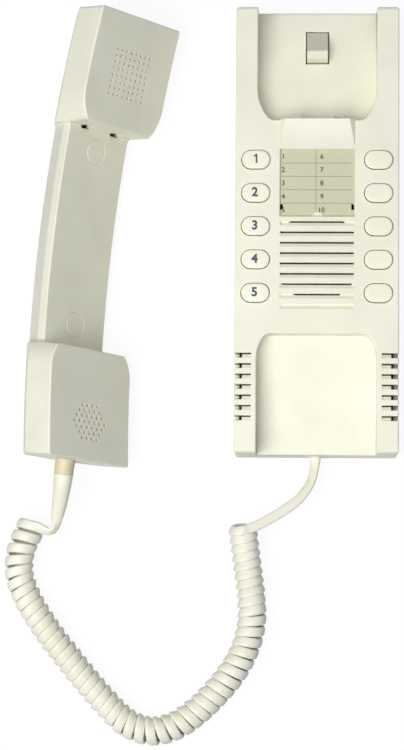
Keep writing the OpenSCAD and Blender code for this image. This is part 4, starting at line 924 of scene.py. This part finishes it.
def sound_holes(work):
    """Closes the solid's mouthpiece holes and drills staggered rows nearer the handset's end."""
    walls = []
    for wall in work.faces:
        x, s, h = on_handset(wall.calc_center_median() * 1000)
        upright = abs((turned_back @ wall.normal).z) < upright_lean
        in_field = math.hypot(x, s + mouth_s) < mouth_field_r
        if upright and in_field and head_h - face_t < h < head_h:
            walls.append(wall)
    bmesh.ops.delete(work, geom=walls, context="FACES")
    bmesh.ops.holes_fill(work, edges=[edge for edge in work.edges if edge.is_boundary], sides=0)
    rim = [Vector(p) for p in stem_ring(0, hole_r)[::rim_skip]]
    rows = int(hole_half_s / hole_row)
    points, faces = [], []
    for row in range(-rows, rows + 1):
        reach = hole_half_x * math.sqrt(1 - (row * hole_row / hole_half_s) ** 2)
        first = row % 2 / 2
        steps = range(int(reach / hole_step - first) + 1)
        tilt = (hole_mid_s + row * hole_row) / arc_r
        spin = Matrix.Rotation(tilt, 3, "X")
        for x in sorted({sign * (step + first) * hole_step for step in steps for sign in (-1, 1)}):
            rings = []
            for h in (head_h - 2 * face_t, head_h + face_t):
                depth = arc_r - h
                middle = Vector((x, depth * math.sin(tilt), arc_r - depth * math.cos(tilt)))
                rings.append([handset_pose @ (middle + spin @ p) / 1000 for p in rim])
            skin_points, skin_faces = stacked(rings)
            faces += [tuple(len(points) + k for k in face) for face in skin_faces]
            points += list(skin_points)
    drill = new_piece("drill", points, faces)
    mesh = bpy.data.meshes.new("blank")
    work.to_mesh(mesh)
    blank = bpy.data.objects.new("blank", mesh)
    bpy.context.scene.collection.objects.link(blank)
    cut = blank.modifiers.new("cut", "BOOLEAN")
    cut.object = drill
    cut.operation = "DIFFERENCE"
    done = bpy.data.meshes.new_from_object(blank.evaluated_get(bpy.context.evaluated_depsgraph_get()))
    work.clear()
    work.from_mesh(done)
    bpy.data.objects.remove(blank)
    bpy.data.objects.remove(drill)


def face_width(place, first, second, convex):
    """How wide each edge of the face shell is rounded, in mm."""
    x, s, h = on_handset(place)
    up = [(turned_back @ n).z for n in (first, second)]
    if abs(h - parting_h) < parting_near or min(up) < -half_up:
        return 0
    if max(up) < half_up:
        if abs(s) > handset_end - head_corner_in and x > head_corner_x:
            return corner_edge
        at_inner = x > inner_x and min(abs(s - ear_inner), abs(s + mouth_inner)) < inner_reach
        return inner_edge if at_inner and convex else 0
    if abs(h - head_h) < head_near:
        at_holes = max(x, min(abs(s - ear_s), abs(s - hole_mid_s))) < field_reach
        return hole_edge if at_holes else head_edge
    if abs(h - grip_h) < grip_near:
        if math.hypot(x, abs(s) - plug_s) < plug_reach:
            return plug_edge if convex else 0
        if within(x, pocket_x) and abs(s - ear_inner) < pocket_reach:
            return pocket_edge if convex else 0
        if not convex:
            return foot_edge
        return grip_edge if x > grip_x else 0
    return 0


def back_width(place, first, second, convex):
    """How wide each edge of the back shell is rounded, in mm."""
    x, s, h = on_handset(place)
    up = [(turned_back @ n).z for n in (first, second)]
    if abs(h - parting_h) < parting_near or max(up) > slight_up:
        return 0
    if abs(s) > handset_end - back_end_in:
        return back_end_edge
    if max(abs(u) for u in up) < slight_up:
        return side_edge if x > inner_x and abs(s) < neck_s[1] else 0
    if h < back_near:
        return back_edge
    if abs(h - crease_h) < crease_near and convex:
        return crease_edge
    return neck_edge if x > neck_x and within(abs(s), neck_s) else 0


face_shell = rounded_copy("handset_face", "handset_front_shell", ivory_abs, face_width, sound_holes)
back_shell = rounded_copy("handset_back", "handset_back_shell", ivory_abs, back_width)
for piece in (face_shell, back_shell):
    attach(piece, "handset")
dress("screw_plugs", ivory_abs, plug_edge, 3)

# Pieces inside the handset: the receiver's clamp ring, the microphone's drawn can and the loom of
# wires from the boot to the receiver.
dress("receiver_clamp", plate_abs, 0.3)
# Drawn aluminium: bright, with a faint satin from drawing.
bright_can = plated("drawn_aluminium", "#dfe0e2", "#c9cbce", 0.28, 1.5)
dress("microphone_capsule", bright_can, 0.3)
dress("handset_loom", black_pbt, 0.05)

# Strain-relief boot: a tapered PVC sleeve that comes out of the handset's lower end and eases the
# cord down to the table. Its collar in the shell's mouth is coloured tan.
boot_route = [(-0.12204, -0.11005, 0.02569), (-0.12228, -0.11224, 0.02569), (-0.123, -0.117, 0.0249),
              (-0.1237, -0.123, 0.0234), (-0.1247, -0.129, 0.0209), (-0.1258, -0.135, 0.0178),
              (-0.127, -0.14, 0.0152), (-0.1277, -0.1425, 0.0139)]
boot_wide, boot_end_w, boot_end_t = 0.0049, 0.0028, 0.0019
collar_len = 0.0098
boot_square, boot_sides, taper_bend = 2.2, 32, 1.7
# Soft PVC, and the same PVC coloured tan for the collar's first stretch from the shell.
boot_pvc = moulded("soft_ivory_pvc", "#f0eedb", "#ebe8d2", 0.42, 1.4, 0.01, 1.54)
tan_pvc = moulded("tan_collar_pvc", "#d8cfaa", "#d0c59c", 0.45, 1.4, 0.01, 1.54)
boot_path = smooth(boot_route, tail_steps)
boot_len = distances(boot_path)
boot_run = (boot_len - boot_len[tail_steps]) / (boot_len[-1] - boot_len[tail_steps])
taper = np.clip(boot_run, 0, 1) ** taper_bend
boot_w = boot_wide + (boot_end_w - boot_wide) * taper
boot_t = boot_wide + (boot_end_t - boot_wide) * taper
boot_skin = swept(boot_path, upward(boot_path), boot_w, boot_t, boot_square, boot_sides)
boot = new_piece("strain_relief_boot", *boot_skin, boot_pvc, tan_pvc)
for index, face in enumerate(boot.data.polygons):
    ring = index // boot_sides
    if ring < len(boot_len) - 1 and boot_len[ring] < collar_len:
        face.material_index = 1
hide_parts("handset_boot")
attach(boot, "handset")
